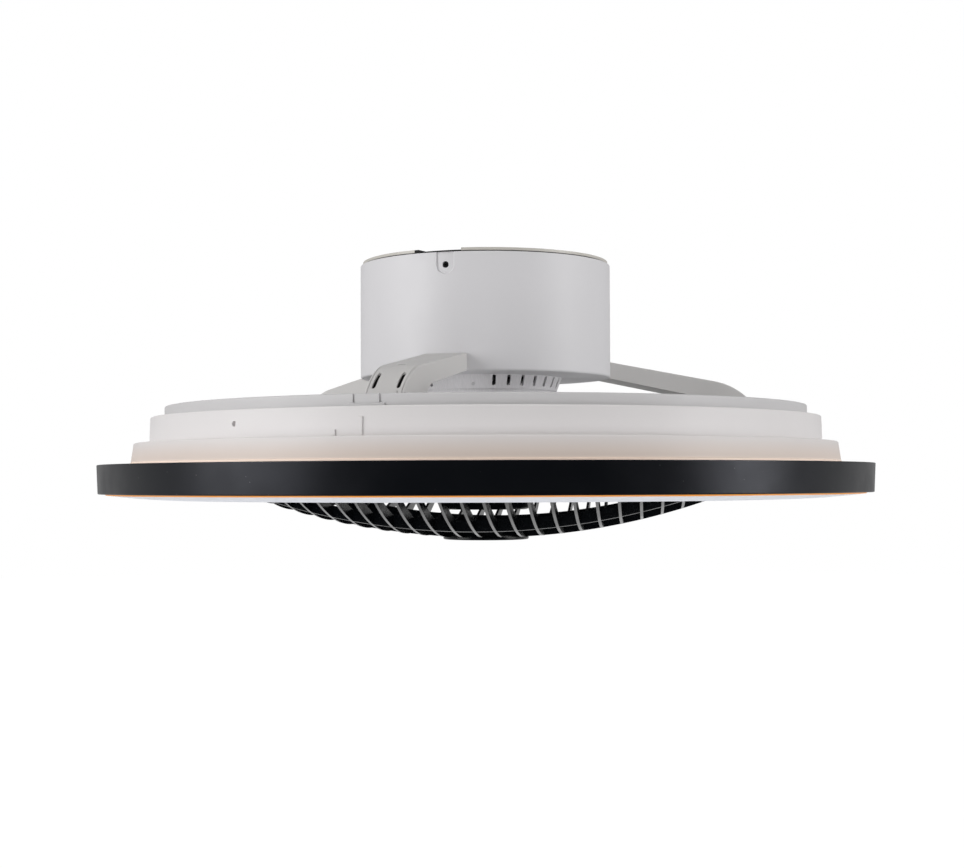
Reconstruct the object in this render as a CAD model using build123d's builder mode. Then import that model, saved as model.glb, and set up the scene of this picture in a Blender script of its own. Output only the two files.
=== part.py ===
from build123d import *
import math
import os

# A flush ceiling fan with a ring light. The fan turns inside a round duct, and the
# lamp is a stepped ring round the duct. Origin: centre of the ceiling face, +Z up,
# millimetres. Azimuths are degrees round +Z from +X.

# Clearances and small fits
seat = 0.3            # between pieces that move on each other
fit = 0.05            # round a shaft, screw or ring that fits in a bore
slack = 0.4           # round pieces that are dropped into place

# Heights of the visible steps, from the ceiling down
plate_reveal = 3.1
canopy_height = 92.8
inlet_gap = 24.95
upper_step = 8.85
middle_step = 20.7
lower_step = 17.1
trim_height = 23.0
diffuser_bulge = 5.3

# Radii of the visible steps. The rings grow outwards from the duct, step by step.
canopy_radius = 103.6
duct_radius = 197.0
frame_radius = duct_radius + 65.5
middle_radius = frame_radius + 11.2
middle_draft = 0.6
lower_radius = middle_radius + 13.0
lower_flare = 2.3
trim_radius = lower_radius + 28.8
trim_draft = 1.0

# Sheet and moulding thicknesses
steel = 1.6
moulding = 2.4
trim_wall = 3.3
sheet = 1.2

canopy_top = -plate_reveal
canopy_base = canopy_top - canopy_height
canopy_floor = canopy_base + steel
frame_top = canopy_base - inlet_gap
lamp_top = frame_top - upper_step
shelf_top = lamp_top - middle_step
trim_top = shelf_top - lower_step
trim_base = trim_top - trim_height
diffuser_base = trim_base - diffuser_bulge

# Three arms, three canopy screws and three snap blocks share one spacing
third = 120.0
arm_azimuths = [252.2, 12.2, 132.2]
arm_names = ["front", "right", "back"]
screw_azimuth = 252.4
snap_azimuth = 251.9
between_arms = [azimuth + third / 2 for azimuth in arm_azimuths]

# Ceiling plate
plate_radius = canopy_radius - 2.0
plate_skirt = 14.0
plate_groove_depth = 0.8
plate_groove_height = 0.9
notch_span = 22.4
notch_turn = 4.3
notch_radius = plate_radius - 21.6
pad_radius = notch_radius + 10.0
pad_gap = 0.6
ceiling_hole_radius = 2.75
ceiling_circle = 75.0
box_slot_spacing = 60.0
box_slot_length = 12.0
box_slot_width = 5.0
grommet_radius = 12.0
grommet_flange = 15.0
grommet_drop = 2.6
cable_radius = 5.0
cable_offset = 46.0

# Ears that the canopy screws enter
ear_width = 16.0
ear_thickness = 2.0
ear_root = notch_radius - 10.0
ear_drop = 4.2
ear_length = 22.0
set_screw_radius = 2.0
set_screw_length = 8.0
set_screw_recess = 0.4
screw_drop = 13.0
pocket_width = 14.4
pocket_depth = 1.0

# Motor
base_height = 32.3
base_radius = 50.0
base_wall = 3.0
base_flange = 69.0
motor_opening = 60.0
base_screw_count = 6
tube_radius = 17.0
bearing_outer = 13.0
bearing_bore = 5.0
bearing_width = 8.0
bearing_gap = 7.0
ball_radius = 2.0
ball_count = 7
stator_radius = 39.6
stator_height = 16.0
tooth_count = 12
air_gap = 0.8
magnet_thickness = 2.3
magnet_count = 14
bell_wall = 2.2
bell_floor = 2.5
shaft_radius = bearing_bore
thread_radius = 4.0

# Vented cone under the canopy
cone_top_radius = 63.3
cone_low_radius = 59.1
cone_height = 11.1
band_height = 5.2
cone_wall = 2.2
neck_opening = 22.0
vent_count = 7
vent_pitch = 11.25
vent_first = 276.2
vent_width = 3.0
vent_length = 8.2
vent_inset = 0.4
vent_corner = 0.9
band_inset = 0.6
groove_depth = 1.1
groove_width = 1.2
cone_screw_azimuth = 260.5
cone_screw_drop = 7.4
cone_screw_radius = 1.25
cone_lug_span = 9.0
cone_lug_half = 3.0

# Fan
hub_radius = 40.0
hub_wall = 3.0
hub_height = 74.0
hub_clearance = 1.8
hub_cap_height = 16.2
hub_cap_radius = 35.5
boss_radius = 12.0
blade_count = 5
blade_tip = duct_radius - 7.0
blade_thickness = 2.8
blade_drop = 30.0
blade_camber = 0.07
blade_stations = [
    (0.16, 48.0, 32.0), (0.42, 72.0, 27.0), (0.71, 92.0, 22.0), (0.94, 98.0, 19.0), (1.02, 84.0, 18.0),
]
foot_thickness = 3.5
foot_span = 50.0
foot_height = 38.0
blade_screw_radius = 1.9
blade_screw_head = 3.2
nut_height = 6.5
nut_width = 13.0
washer_radius = 10.0
washer_thickness = 1.5

# Arms, in the upright plane through the arm
arm_inner_width = 35.0
arm_outer_width = 30.0
arm_top_drop = 13.9
arm_top_slope = 9.1
arm_foot_radius = frame_radius - 27.5
arm_foot_slope = 53.9
arm_bend = 60.0
arm_heel_radius = duct_radius - 4.5
arm_elbow = 11.0
arm_elbow_radius = arm_heel_radius - 11.5
arm_under_slope = 10.5
arm_under_rise = 0.2
arm_edge_rounding = 1.4
arm_wall = 2.4
arm_end_block = 8.0
lid_thickness = 1.4
lid_inset = 1.8
lid_gap = 0.4
lid_start = arm_foot_radius - 31.5
lid_slot_width = 3.0
lid_slot_offset = 9.3
lid_slot_start = arm_foot_radius - 19.5
lid_slot_end = arm_foot_radius - 4.0
nick_start = arm_foot_radius - 2.4
nick_width = 1.2
nick_offset = 9.8
gate_radius = arm_foot_radius - 37.0
gate_mark = 3.0
gate_depth = 0.3
window_margin = 1.0
window_floor = 3.0
arm_screw_offset = 10.5
arm_screw_drop = 7.1
arm_screw_radius = 1.9
arm_screw_head = 3.6
arm_screw_bite = 10.0
boss_circle = duct_radius + 9.5
boss_offset = 8.8
boss_size = 4.5

# Lamp lead
lead_radius = 2.4
lead_bend = 8.0
lead_start = 33.5
lead_drop_radius = canopy_radius - 15.6
lead_end_radius = arm_foot_radius - 13.0
lead_rise = 6.8
lead_entry = 6.0

# Frame ring and duct
frame_corner = 1.0
guide_depth = 1.8
duct_wall = 2.2
duct_flange = 14.0
duct_rise = 2.4
snap_groove_span = 4.24
snap_groove_width = 1.4
snap_groove_depth = 0.7
snap_ledge_span = 5.75
snap_ledge_height = 1.9
snap_ledge_reach = 0.9
snap_ledge_rise = 0.4

# Twist lock between frame and lamp
lamp_twist = 4.1
lug_span = 3.6
lug_depth = 7.0
lug_height = 5.0
hook_wall = 3.0
hook_foot = 2.5
hook_gap = 1.5
lamp_lip = frame_radius - 6.0

# Lamp
middle_corner = 1.0
lower_corner = 1.0
lamp_foot = 3.0
foot_inner = lower_radius - 9.7
halo_thickness = 1.8
halo_reach = 0.6
trim_lip = 1.6
trim_corner = 0.6
lip_radius = trim_radius - 6.6
trim_rib_count = 12
trim_rib_span = 1.2
amber_inner = lip_radius - 4.4
amber_flange = 1.5
amber_reveal = 1.0
diffuser_wall = 2.0
diffuser_inner = duct_radius + 6.5
diffuser_flat = trim_radius - 75.0
board_inner = duct_radius + 15.0
board_outer = foot_inner - 8.7
board_gap = 3.0
board_thickness = 1.6
chip_length = 3.5
chip_width = 2.8
chip_height = 0.8
chip_rows = [(board_inner + 16.0, 30), (board_outer - 16.0, 36)]
post_radius = 3.6
post_height = 9.0
post_circle = foot_inner - 3.7
trim_screw_circle = foot_inner + 5.8
lamp_screw_count = 9
small_screw = 1.5
small_head = 2.8
small_head_height = 1.8
small_slot_width = 0.7
small_slot_length = 4.4
large_head_height = 2.2
mark_width = 3.0
mark_height = 13.2
mark_relief = 0.7
mark_azimuth = 251.9
short_mark_height = 4.3
short_mark_width = 2.5
drain_azimuth = 229.4
drain_radius = 1.9
drain_drop = 10.4

# Grille
grille_flange = duct_radius + 4.5
grille_flange_thickness = 2.5
grille_flange_corner = 1.2
dish_edge = duct_radius - 11.6
dish_depth = 31.6
rim_inner = dish_edge + 1.2
slat_pitch = 16.14
slat_width = 2.2
slat_depth = 9.3
slat_turn = -5.7
cross_spacing = 90.0
cross_count = 3
collar_radius = duct_radius - 3.4
collar_wall = 3.2
collar_height = 10.2
grille_lug_count = 4
grille_lug_span = 10.0
grille_lug_reach = 3.1
grille_lug_height = 2.4
grille_ledge_span = 14.0
ledge_height = 2.0
ledge_reach = 2.5
ledge_stop = 1.5
ledge_rise = 2.8
cap_radius = 35.4
cap_thickness = 2.1
cap_seat = 0.95
cap_spigot = 30.8
cap_spigot_height = 5.0
cap_ring_wall = 2.2

# Electrics in the canopy
case_length = 76.0
case_width = 33.0
case_height = 20.0
case_wall = 1.8
case_gap = 5.0
standoff = 2.2
lid_plate = 2.0
controller_length = 62.0
controller_height = 16.0
terminal_length = 36.0
terminal_width = 16.0
terminal_height = 14.0
terminal_offset = 20.0
terminal_hole = 2.0
core_length = 16.0
core_width = 12.0
core_height = 7.5
capacitor_radius = 5.0
capacitor_height = 8.0
contact_length = 16.0
contact_width = 12.0
contact_height = 20.0

os.makedirs("parts", exist_ok=True)


def polar(radius, azimuth, height=0.0):
    """The point at a radius, an azimuth and a height."""
    angle = math.radians(azimuth)
    return (radius * math.cos(angle), radius * math.sin(angle), height)


def radial_plane(azimuth):
    """The upright plane through the axis: x runs outwards, y runs up."""
    return Plane(origin=(0, 0, 0), x_dir=polar(1, azimuth), z_dir=polar(1, azimuth - 90))


def facing_plane(azimuth, radius, height):
    """The plane that looks outwards along an azimuth: x runs round, y runs up."""
    origin = polar(radius, azimuth, height)
    return Plane(origin=origin, x_dir=polar(1, azimuth + 90), z_dir=polar(1, azimuth))


def level_plane(azimuth, height):
    """A level plane whose x runs outwards along an azimuth."""
    return Plane(origin=(0, 0, height), x_dir=polar(1, azimuth), z_dir=(0, 0, 1))


def turn(*points, rounded=(), mode=Mode.ADD):
    """Turns an outline of (radius, height) points about the axis.
    rounded lists (radius, height, rounding) for the corners that are rounded."""
    with BuildSketch(Plane.XZ) as section:
        with BuildLine():
            Polyline(*points, close=True)
        make_face()
        for radius, height, rounding in rounded:
            fillet(section.vertices().sort_by_distance((radius, height))[0], rounding)
    revolve(section.sketch, axis=Axis.Z, mode=mode)


def ring(inner, outer, bottom, top, mode=Mode.ADD):
    """A plain ring between two radii and two heights."""
    turn((inner, bottom), (outer, bottom), (outer, top), (inner, top), mode=mode)


def disc(radius, bottom, top, mode=Mode.ADD):
    """A plain disc on the axis between two heights."""
    with BuildSketch(Plane.XY.offset(bottom)) as plan:
        Circle(radius)
    extrude(plan.sketch, amount=top - bottom, mode=mode)


def sector(inner, outer, azimuth, span, bottom, top, mode=Mode.ADD):
    """A curved block centred on an azimuth, between two radii and two heights."""
    with BuildSketch(Plane.XY.offset(bottom)) as plan:
        with BuildLine():
            outside = CenterArc((0, 0), outer, azimuth - span / 2, span)
            inside = CenterArc((0, 0), inner, azimuth - span / 2, span)
            Line(outside @ 0, inside @ 0)
            Line(outside @ 1, inside @ 1)
        make_face()
    extrude(plan.sketch, amount=top - bottom, mode=mode)


def upright(radius, bottom, top, mode=Mode.ADD):
    """An upright cylinder at each active location."""
    Cylinder(radius, top - bottom, align=(Align.CENTER, Align.CENTER, Align.MIN), mode=mode)


def radial_pin(azimuth, offset, height, radius, start, end, mode=Mode.ADD):
    """A cylinder that lies along an azimuth, set aside by an offset."""
    with BuildSketch(facing_plane(azimuth, start, height)) as section:
        with Locations((offset, 0)):
            Circle(radius)
    extrude(section.sketch, amount=end - start, mode=mode)


# Ceiling plate with its skirt, a groove above the canopy's edge, three notches and three ears
with BuildPart() as mounting_plate:
    disc(plate_radius, -steel, 0)
    ring(plate_radius - steel, plate_radius, -plate_skirt, 0)
    ring(
        plate_radius - plate_groove_depth, plate_radius + 1, canopy_top, canopy_top + plate_groove_height,
        mode=Mode.SUBTRACT,
    )
    for step in range(3):
        azimuth = screw_azimuth + step * third
        sector(
            notch_radius, plate_radius + 1, azimuth - notch_turn, notch_span, -plate_skirt, 0,
            mode=Mode.SUBTRACT,
        )
    for step in range(3):
        azimuth = screw_azimuth + step * third
        ear_face = canopy_radius - pocket_depth - steel - seat
        with BuildSketch(radial_plane(azimuth)) as ear_section:
            with BuildLine():
                Polyline(
                    (ear_root, -steel),
                    (ear_root, -ear_drop - ear_thickness),
                    (ear_face - ear_thickness, -ear_drop - ear_thickness),
                    (ear_face - ear_thickness, -ear_length),
                    (ear_face, -ear_length),
                    (ear_face, -ear_drop),
                    (ear_root + ear_thickness, -ear_drop),
                    (ear_root + ear_thickness, -steel),
                    close=True,
                )
            make_face()
        extrude(ear_section.sketch, amount=ear_width / 2, both=True)
        radial_pin(
            azimuth, 0, -screw_drop, set_screw_radius + fit, ear_face - 5, ear_face + 1,
            mode=Mode.SUBTRACT,
        )
    with BuildSketch(Plane.XY.offset(-steel)) as plate_holes:
        for azimuth in between_arms:
            with Locations(polar(ceiling_circle, azimuth)):
                Circle(ceiling_hole_radius)
        with GridLocations(box_slot_spacing, 0, 2, 1):
            SlotOverall(box_slot_length, box_slot_width)
        with Locations((0, cable_offset)):
            Circle(grommet_radius + fit)
    extrude(plate_holes.sketch, amount=steel, mode=Mode.SUBTRACT)
mounting_plate.part.label = "mounting_plate"
export_step(mounting_plate.part, "parts/mounting_plate.step")

# Rubber pads in the notches, on the ears
with BuildPart() as notch_pads:
    for step in range(3):
        azimuth = screw_azimuth + step * third
        sector(
            notch_radius + fit, pad_radius, azimuth - notch_turn, notch_span - pad_gap, -ear_drop, 0,
        )
notch_pads.part.label = "notch_pads"
export_step(notch_pads.part, "parts/notch_pads.step")

# Rubber grommet for the supply cable, flush with the ceiling face
with BuildPart() as cable_grommet:
    with Locations((0, cable_offset, -steel)):
        upright(grommet_radius, -steel, 0)
    with Locations((0, cable_offset, -steel - grommet_drop)):
        upright(grommet_flange, 0, grommet_drop)
    with Locations((0, cable_offset, -steel - grommet_drop)):
        upright(cable_radius, 0, grommet_drop + steel, mode=Mode.SUBTRACT)
    fillet(cable_grommet.edges().group_by(Axis.Z)[0].sort_by(SortBy.RADIUS)[-1], 1.0)
cable_grommet.part.label = "cable_grommet"
export_step(cable_grommet.part, "parts/cable_grommet.step")

# Drum canopy with a pressed pocket at each side screw
base_screw_circle = (motor_opening + base_flange) / 2
arm_screw_height = canopy_base + arm_screw_drop
with BuildPart() as canopy:
    turn(
        (motor_opening, canopy_base),
        (canopy_radius, canopy_base),
        (canopy_radius, canopy_top),
        (canopy_radius - steel, canopy_top),
        (canopy_radius - steel, canopy_floor),
        (motor_opening, canopy_floor),
        rounded=[(canopy_radius, canopy_base, 2.6), (canopy_radius - steel, canopy_floor, 1.0)],
    )
    for step in range(3):
        azimuth = screw_azimuth + step * third
        back = canopy_radius - pocket_depth - steel
        with BuildSketch(facing_plane(azimuth, back, -screw_drop)) as pad:
            Circle(pocket_width / 2 + steel)
            with Locations((0, screw_drop + canopy_top)):
                Rectangle(
                    pocket_width + 2 * steel, 2 * (screw_drop + canopy_top),
                    align=(Align.CENTER, Align.MAX),
                )
        extrude(pad.sketch, amount=steel)
        with BuildSketch(facing_plane(azimuth, canopy_radius - pocket_depth, -screw_drop)) as pocket:
            Circle(pocket_width / 2)
            Rectangle(pocket_width, screw_drop + 1, align=(Align.CENTER, Align.MIN))
        extrude(pocket.sketch, amount=pocket_depth + 1, mode=Mode.SUBTRACT)
        radial_pin(
            azimuth, 0, -screw_drop, set_screw_radius + slack, back - 1, canopy_radius,
            mode=Mode.SUBTRACT,
        )
    ring(canopy_radius - 6, canopy_radius, canopy_top, canopy_top + 8, mode=Mode.SUBTRACT)
    ring(canopy_radius, canopy_radius + 6, canopy_base, canopy_top + 8, mode=Mode.SUBTRACT)
    for azimuth in arm_azimuths:
        for aside in (-arm_screw_offset, arm_screw_offset):
            radial_pin(
                azimuth, aside, arm_screw_height, arm_screw_radius + slack,
                canopy_radius - 6, canopy_radius + 2, mode=Mode.SUBTRACT,
            )
    radial_pin(
        arm_azimuths[0], 0, arm_screw_height, lead_radius + fit,
        canopy_radius - 6, canopy_radius + 2, mode=Mode.SUBTRACT,
    )
    with PolarLocations(base_screw_circle, base_screw_count, third / 4):
        with Locations((0, 0, canopy_base)):
            upright(small_screw + fit, 0, steel, mode=Mode.SUBTRACT)
canopy.part.label = "canopy"
export_step(canopy.part, "parts/canopy.step")

# Black set screws in the pockets
with BuildPart() as canopy_screws:
    screw_face = canopy_radius - pocket_depth - set_screw_recess
    for step in range(3):
        azimuth = screw_azimuth + step * third
        radial_pin(azimuth, 0, -screw_drop, set_screw_radius, screw_face - set_screw_length, screw_face)
    for step in range(3):
        azimuth = screw_azimuth + step * third
        with BuildSketch(facing_plane(azimuth, screw_face - 2, -screw_drop)) as socket:
            RegularPolygon(set_screw_radius * 0.55, 6)
        extrude(socket.sketch, amount=3, mode=Mode.SUBTRACT)
canopy_screws.part.label = "canopy_screws"
export_step(canopy_screws.part, "parts/canopy_screws.step")

# Cast motor base: cup, flange on the canopy floor, bearing tube and cone lugs
base_top = canopy_floor + base_height
upper_bearing_top = base_top - base_wall
lower_bearing_top = upper_bearing_top - bearing_width - bearing_gap
tube_end = lower_bearing_top - bearing_width
cone_screw_height = canopy_base - cone_screw_drop
lug_outer = cone_low_radius - cone_wall + 0.2
with BuildPart() as motor_base:
    turn(
        (0, base_top),
        (base_radius, base_top),
        (base_radius, canopy_floor + base_wall),
        (base_flange, canopy_floor + base_wall),
        (base_flange, canopy_floor),
        (base_radius - base_wall, canopy_floor),
        (base_radius - base_wall, base_top - base_wall),
        (tube_radius, base_top - base_wall),
        (tube_radius, tube_end),
        (bearing_outer + fit, tube_end),
        (bearing_outer + fit, lower_bearing_top),
        (bearing_outer - 1.2, lower_bearing_top),
        (bearing_outer - 1.2, lower_bearing_top + bearing_gap),
        (bearing_outer + fit, lower_bearing_top + bearing_gap),
        (bearing_outer + fit, upper_bearing_top),
        (0, upper_bearing_top),
    )
    for step in range(3):
        azimuth = cone_screw_azimuth + step * third
        sector(
            base_radius + 3, lug_outer, azimuth, cone_lug_span,
            cone_screw_height - cone_lug_half, canopy_floor + base_wall / 2,
        )
        radial_pin(
            azimuth, 0, cone_screw_height, cone_screw_radius + fit,
            base_radius + 2, lug_outer + 1, mode=Mode.SUBTRACT,
        )
    with PolarLocations(base_screw_circle, base_screw_count, third / 4):
        with Locations((0, 0, canopy_floor)):
            upright(small_screw + fit, 0, base_wall, mode=Mode.SUBTRACT)
motor_base.part.label = "motor_base"
export_step(motor_base.part, "parts/motor_base.step")

# Screws through the base flange into the canopy floor
with BuildPart() as motor_base_screws:
    with PolarLocations(base_screw_circle, base_screw_count, third / 4):
        with Locations((0, 0, canopy_base)):
            upright(small_screw, 0, steel + base_wall)
        with Locations((0, 0, canopy_floor + base_wall)):
            upright(small_head, 0, small_head_height)
        with Locations((0, 0, canopy_floor + base_wall + small_head_height / 2)):
            Box(
                small_slot_width, small_slot_length, small_head_height,
                align=(Align.CENTER, Align.CENTER, Align.MIN), mode=Mode.SUBTRACT,
            )
motor_base_screws.part.label = "motor_base_screws"
export_step(motor_base_screws.part, "parts/motor_base_screws.step")

# Vented cone that closes the motor from below
cone_low = canopy_base - cone_height
cone_base = cone_low - band_height
with BuildPart() as motor_cone:
    turn(
        (neck_opening, cone_base),
        (cone_low_radius - band_inset, cone_base),
        (cone_low_radius, cone_low - groove_width),
        (cone_low_radius - groove_depth, cone_low - groove_width),
        (cone_low_radius - groove_depth, cone_low),
        (cone_low_radius, cone_low),
        (cone_top_radius, canopy_base),
        (cone_top_radius - cone_wall, canopy_base),
        (cone_low_radius - cone_wall, cone_low),
        (cone_low_radius - cone_wall - 1.0, cone_base + cone_wall),
        (neck_opening, cone_base + cone_wall),
        rounded=[(cone_low_radius - band_inset, cone_base, 1.0)],
    )
    for step in range(3):
        for slot in range(vent_count):
            azimuth = vent_first + slot * vent_pitch + step * third
            top = canopy_base - vent_inset
            with BuildSketch(facing_plane(azimuth, cone_low_radius - 8, top - vent_length / 2)) as vent:
                RectangleRounded(vent_width, vent_length, vent_corner)
            extrude(vent.sketch, amount=14, mode=Mode.SUBTRACT)
    for step in range(3):
        azimuth = cone_screw_azimuth + step * third
        radial_pin(
            azimuth, 0, cone_screw_height, cone_screw_radius + 2 * fit,
            lug_outer - 1, cone_top_radius + 1, mode=Mode.SUBTRACT,
        )
motor_cone.part.label = "motor_cone"
export_step(motor_cone.part, "parts/motor_cone.step")

# Small screws through the cone into the base's lugs
with BuildPart() as cone_screws:
    for step in range(3):
        azimuth = cone_screw_azimuth + step * third
        rise = (cone_screw_height - cone_low) / cone_height
        wall_radius = cone_low_radius + (cone_top_radius - cone_low_radius) * rise
        radial_pin(azimuth, 0, cone_screw_height, cone_screw_radius, lug_outer - 4, wall_radius - seat)
cone_screws.part.label = "cone_screws"
export_step(cone_screws.part, "parts/cone_screws.step")

# Laminated stator, pressed on the bearing tube
stator_top = base_top - base_wall - 4.0
stator_base = stator_top - stator_height
tooth_width = 5.0
tip_thickness = 3.2
yoke_radius = tube_radius + 6
with BuildPart() as stator_core:
    with BuildSketch(Plane.XY.offset(stator_base)) as lamination:
        Circle(yoke_radius)
        with PolarLocations((yoke_radius + stator_radius) / 2 - 2, tooth_count):
            Rectangle(stator_radius - yoke_radius, tooth_width)
        with PolarLocations(stator_radius - tip_thickness / 2, tooth_count):
            Rectangle(tip_thickness, tooth_width * 3.2)
        Circle(stator_radius, mode=Mode.INTERSECT)
        Circle(tube_radius, mode=Mode.SUBTRACT)
    extrude(lamination.sketch, amount=stator_height)
stator_core.part.label = "stator_core"
export_step(stator_core.part, "parts/stator_core.step")

# One copper coil round each tooth
coil_side = 2.8
coil_length = stator_radius - tip_thickness - yoke_radius - 2.0
coil_middle = yoke_radius + 1.0 + coil_length / 2
with BuildPart() as stator_coils:
    with PolarLocations(coil_middle, tooth_count):
        with Locations((0, 0, (stator_base + stator_top) / 2)):
            Box(coil_length, tooth_width + 2 * coil_side, stator_height + 2 * coil_side)
            Box(coil_length, tooth_width + 2 * fit, stator_height + 2 * fit, mode=Mode.SUBTRACT)
stator_coils.part.label = "stator_coils"
export_step(stator_coils.part, "parts/stator_coils.step")

# Two ball bearings: rings, balls and cages
bearing_middles = [upper_bearing_top - bearing_width / 2, lower_bearing_top - bearing_width / 2]
ball_circle = (bearing_outer + bearing_bore) / 2 + 0.1
race_land = 1.5
cage_half_wall = 0.9
cage_rail = 0.8


def ball_race(middle):
    """Cuts the round groove that the balls of one bearing run in."""
    with BuildSketch(Plane.XZ) as groove:
        with Locations((ball_circle, middle)):
            Circle(ball_radius + fit)
    revolve(groove.sketch, axis=Axis.Z, mode=Mode.SUBTRACT)


with BuildPart() as bearing_outer_rings:
    for middle in bearing_middles:
        ring(ball_circle + race_land, bearing_outer, middle - bearing_width / 2, middle + bearing_width / 2)
        ball_race(middle)
bearing_outer_rings.part.label = "bearing_outer_rings"
export_step(bearing_outer_rings.part, "parts/bearing_outer_rings.step")

with BuildPart() as bearing_inner_rings:
    for middle in bearing_middles:
        ring(
            bearing_bore + fit, ball_circle - race_land,
            middle - bearing_width / 2, middle + bearing_width / 2,
        )
        ball_race(middle)
bearing_inner_rings.part.label = "bearing_inner_rings"
export_step(bearing_inner_rings.part, "parts/bearing_inner_rings.step")

with BuildPart() as bearing_balls:
    for middle in bearing_middles:
        with Locations((0, 0, middle)):
            with PolarLocations(ball_circle, ball_count):
                Sphere(ball_radius)
bearing_balls.part.label = "bearing_balls"
export_step(bearing_balls.part, "parts/bearing_balls.step")

with BuildPart() as bearing_cages:
    for middle in bearing_middles:
        ring(
            ball_circle - cage_half_wall, ball_circle + cage_half_wall,
            middle - ball_radius - cage_rail, middle + ball_radius + cage_rail,
        )
    for middle in bearing_middles:
        for index in range(ball_count):
            radial_pin(
                index * 360 / ball_count, 0, middle, ball_radius + fit,
                ball_circle - 2, ball_circle + 2, mode=Mode.SUBTRACT,
            )
bearing_cages.part.label = "bearing_cages"
export_step(bearing_cages.part, "parts/bearing_cages.step")

# Rotor bell, open at the top, with its magnets
magnet_inner = stator_radius + air_gap
magnet_outer = magnet_inner + magnet_thickness
bell_radius = magnet_outer + fit + bell_wall
bell_base = tube_end - 1.5 - bell_floor
bell_boss = 6.0
with BuildPart() as rotor_bell:
    turn(
        (shaft_radius + fit, bell_base - bell_boss),
        (shaft_radius + 4, bell_base - bell_boss),
        (shaft_radius + 4, bell_base),
        (bell_radius, bell_base),
        (bell_radius, stator_top),
        (bell_radius - bell_wall, stator_top),
        (bell_radius - bell_wall, bell_base + bell_floor),
        (shaft_radius + fit, bell_base + bell_floor),
        rounded=[(bell_radius, bell_base, 2.0)],
    )
    with Locations((0, 0, bell_base)):
        with PolarLocations(bell_radius * 0.62, 6):
            upright(5.0, 0, bell_floor, mode=Mode.SUBTRACT)
rotor_bell.part.label = "rotor_bell"
export_step(rotor_bell.part, "parts/rotor_bell.step")

with BuildPart() as rotor_magnets:
    for index in range(magnet_count):
        span = 360 / magnet_count
        sector(magnet_inner, magnet_outer, index * span, span - 3.5, stator_base - 1, stator_top - 1)
rotor_magnets.part.label = "rotor_magnets"
export_step(rotor_magnets.part, "parts/rotor_magnets.step")

# Shaft, from the upper bearing to the nut under the hub
hub_top = cone_base - hub_clearance
hub_base = hub_top - hub_height
boss_base = hub_base + 12.0
thread_length = washer_thickness + nut_height + 2.5
with BuildPart() as motor_shaft:
    disc(shaft_radius, boss_base, upper_bearing_top - 0.5)
    disc(thread_radius, boss_base - thread_length, boss_base)
    chamfer(motor_shaft.edges().group_by(Axis.Z)[-1], 0.5)
    chamfer(motor_shaft.edges().group_by(Axis.Z)[0], 0.7)
motor_shaft.part.label = "motor_shaft"
export_step(motor_shaft.part, "parts/motor_shaft.step")

# Hub cup with its boss on the shaft
blade_middle = hub_top - blade_drop
foot_screw_drop = 13.0
foot_screw_turn = 17.0
with BuildPart() as blade_hub:
    turn(
        (shaft_radius + fit, hub_top + 6),
        (boss_radius, hub_top + 6),
        (boss_radius + 3, hub_top),
        (hub_radius, hub_top),
        (hub_radius, hub_base),
        (hub_radius - hub_wall, hub_base),
        (hub_radius - hub_wall, hub_top - hub_wall),
        (boss_radius, hub_top - hub_wall),
        (boss_radius, boss_base),
        (shaft_radius + fit, boss_base),
        rounded=[(hub_radius, hub_top, 3.0)],
    )
    with PolarLocations((boss_radius + hub_radius - hub_wall) / 2, 6):
        with Locations((0, 0, boss_base + 6)):
            Box(
                hub_radius - hub_wall - boss_radius + 2, 2.4, hub_top - hub_wall - boss_base - 5,
                align=(Align.CENTER, Align.CENTER, Align.MIN),
            )
    for index in range(blade_count):
        azimuth = index * 360 / blade_count
        for side in (-1, 1):
            radial_pin(
                azimuth - side * foot_screw_turn, 0, blade_middle + side * foot_screw_drop,
                blade_screw_radius + fit, hub_radius - hub_wall - 3, hub_radius + 1,
                mode=Mode.SUBTRACT,
            )
blade_hub.part.label = "blade_hub"
export_step(blade_hub.part, "parts/blade_hub.step")


def fan_blade(azimuth):
    """One twisted blade with the curved foot that is screwed to the hub."""
    with BuildPart() as blade:
        for reach, chord, pitch in blade_stations:
            station = facing_plane(azimuth, reach * blade_tip, blade_middle).rotated((0, 0, pitch))
            crown = blade_camber * chord
            half = blade_thickness / 2
            with BuildSketch(station):
                with BuildLine():
                    ThreePointArc((-chord / 2, half), (0, crown + half), (chord / 2, half))
                    ThreePointArc((chord / 2, half), (chord / 2 + half, 0), (chord / 2, -half))
                    ThreePointArc((chord / 2, -half), (0, crown - half), (-chord / 2, -half))
                    ThreePointArc((-chord / 2, -half), (-chord / 2 - half, 0), (-chord / 2, half))
                make_face()
        loft()
        disc(blade_tip, blade_middle - hub_height, blade_middle + hub_height, mode=Mode.INTERSECT)
        sector(
            hub_radius, hub_radius + foot_thickness, azimuth, foot_span,
            blade_middle - foot_height / 2, blade_middle + foot_height / 2,
        )
        disc(hub_radius, blade_middle - hub_height, blade_middle + hub_height, mode=Mode.SUBTRACT)
        for side in (-1, 1):
            radial_pin(
                azimuth - side * foot_screw_turn, 0, blade_middle + side * foot_screw_drop,
                blade_screw_radius + 4 * fit, hub_radius - 1, hub_radius + foot_thickness + 1,
                mode=Mode.SUBTRACT,
            )
    return blade


for index in range(blade_count):
    blade = fan_blade(index * 360 / blade_count)
    blade.part.label = f"fan_blade_{index + 1}"
    export_step(blade.part, f"parts/fan_blade_{index + 1}.step")

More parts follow.
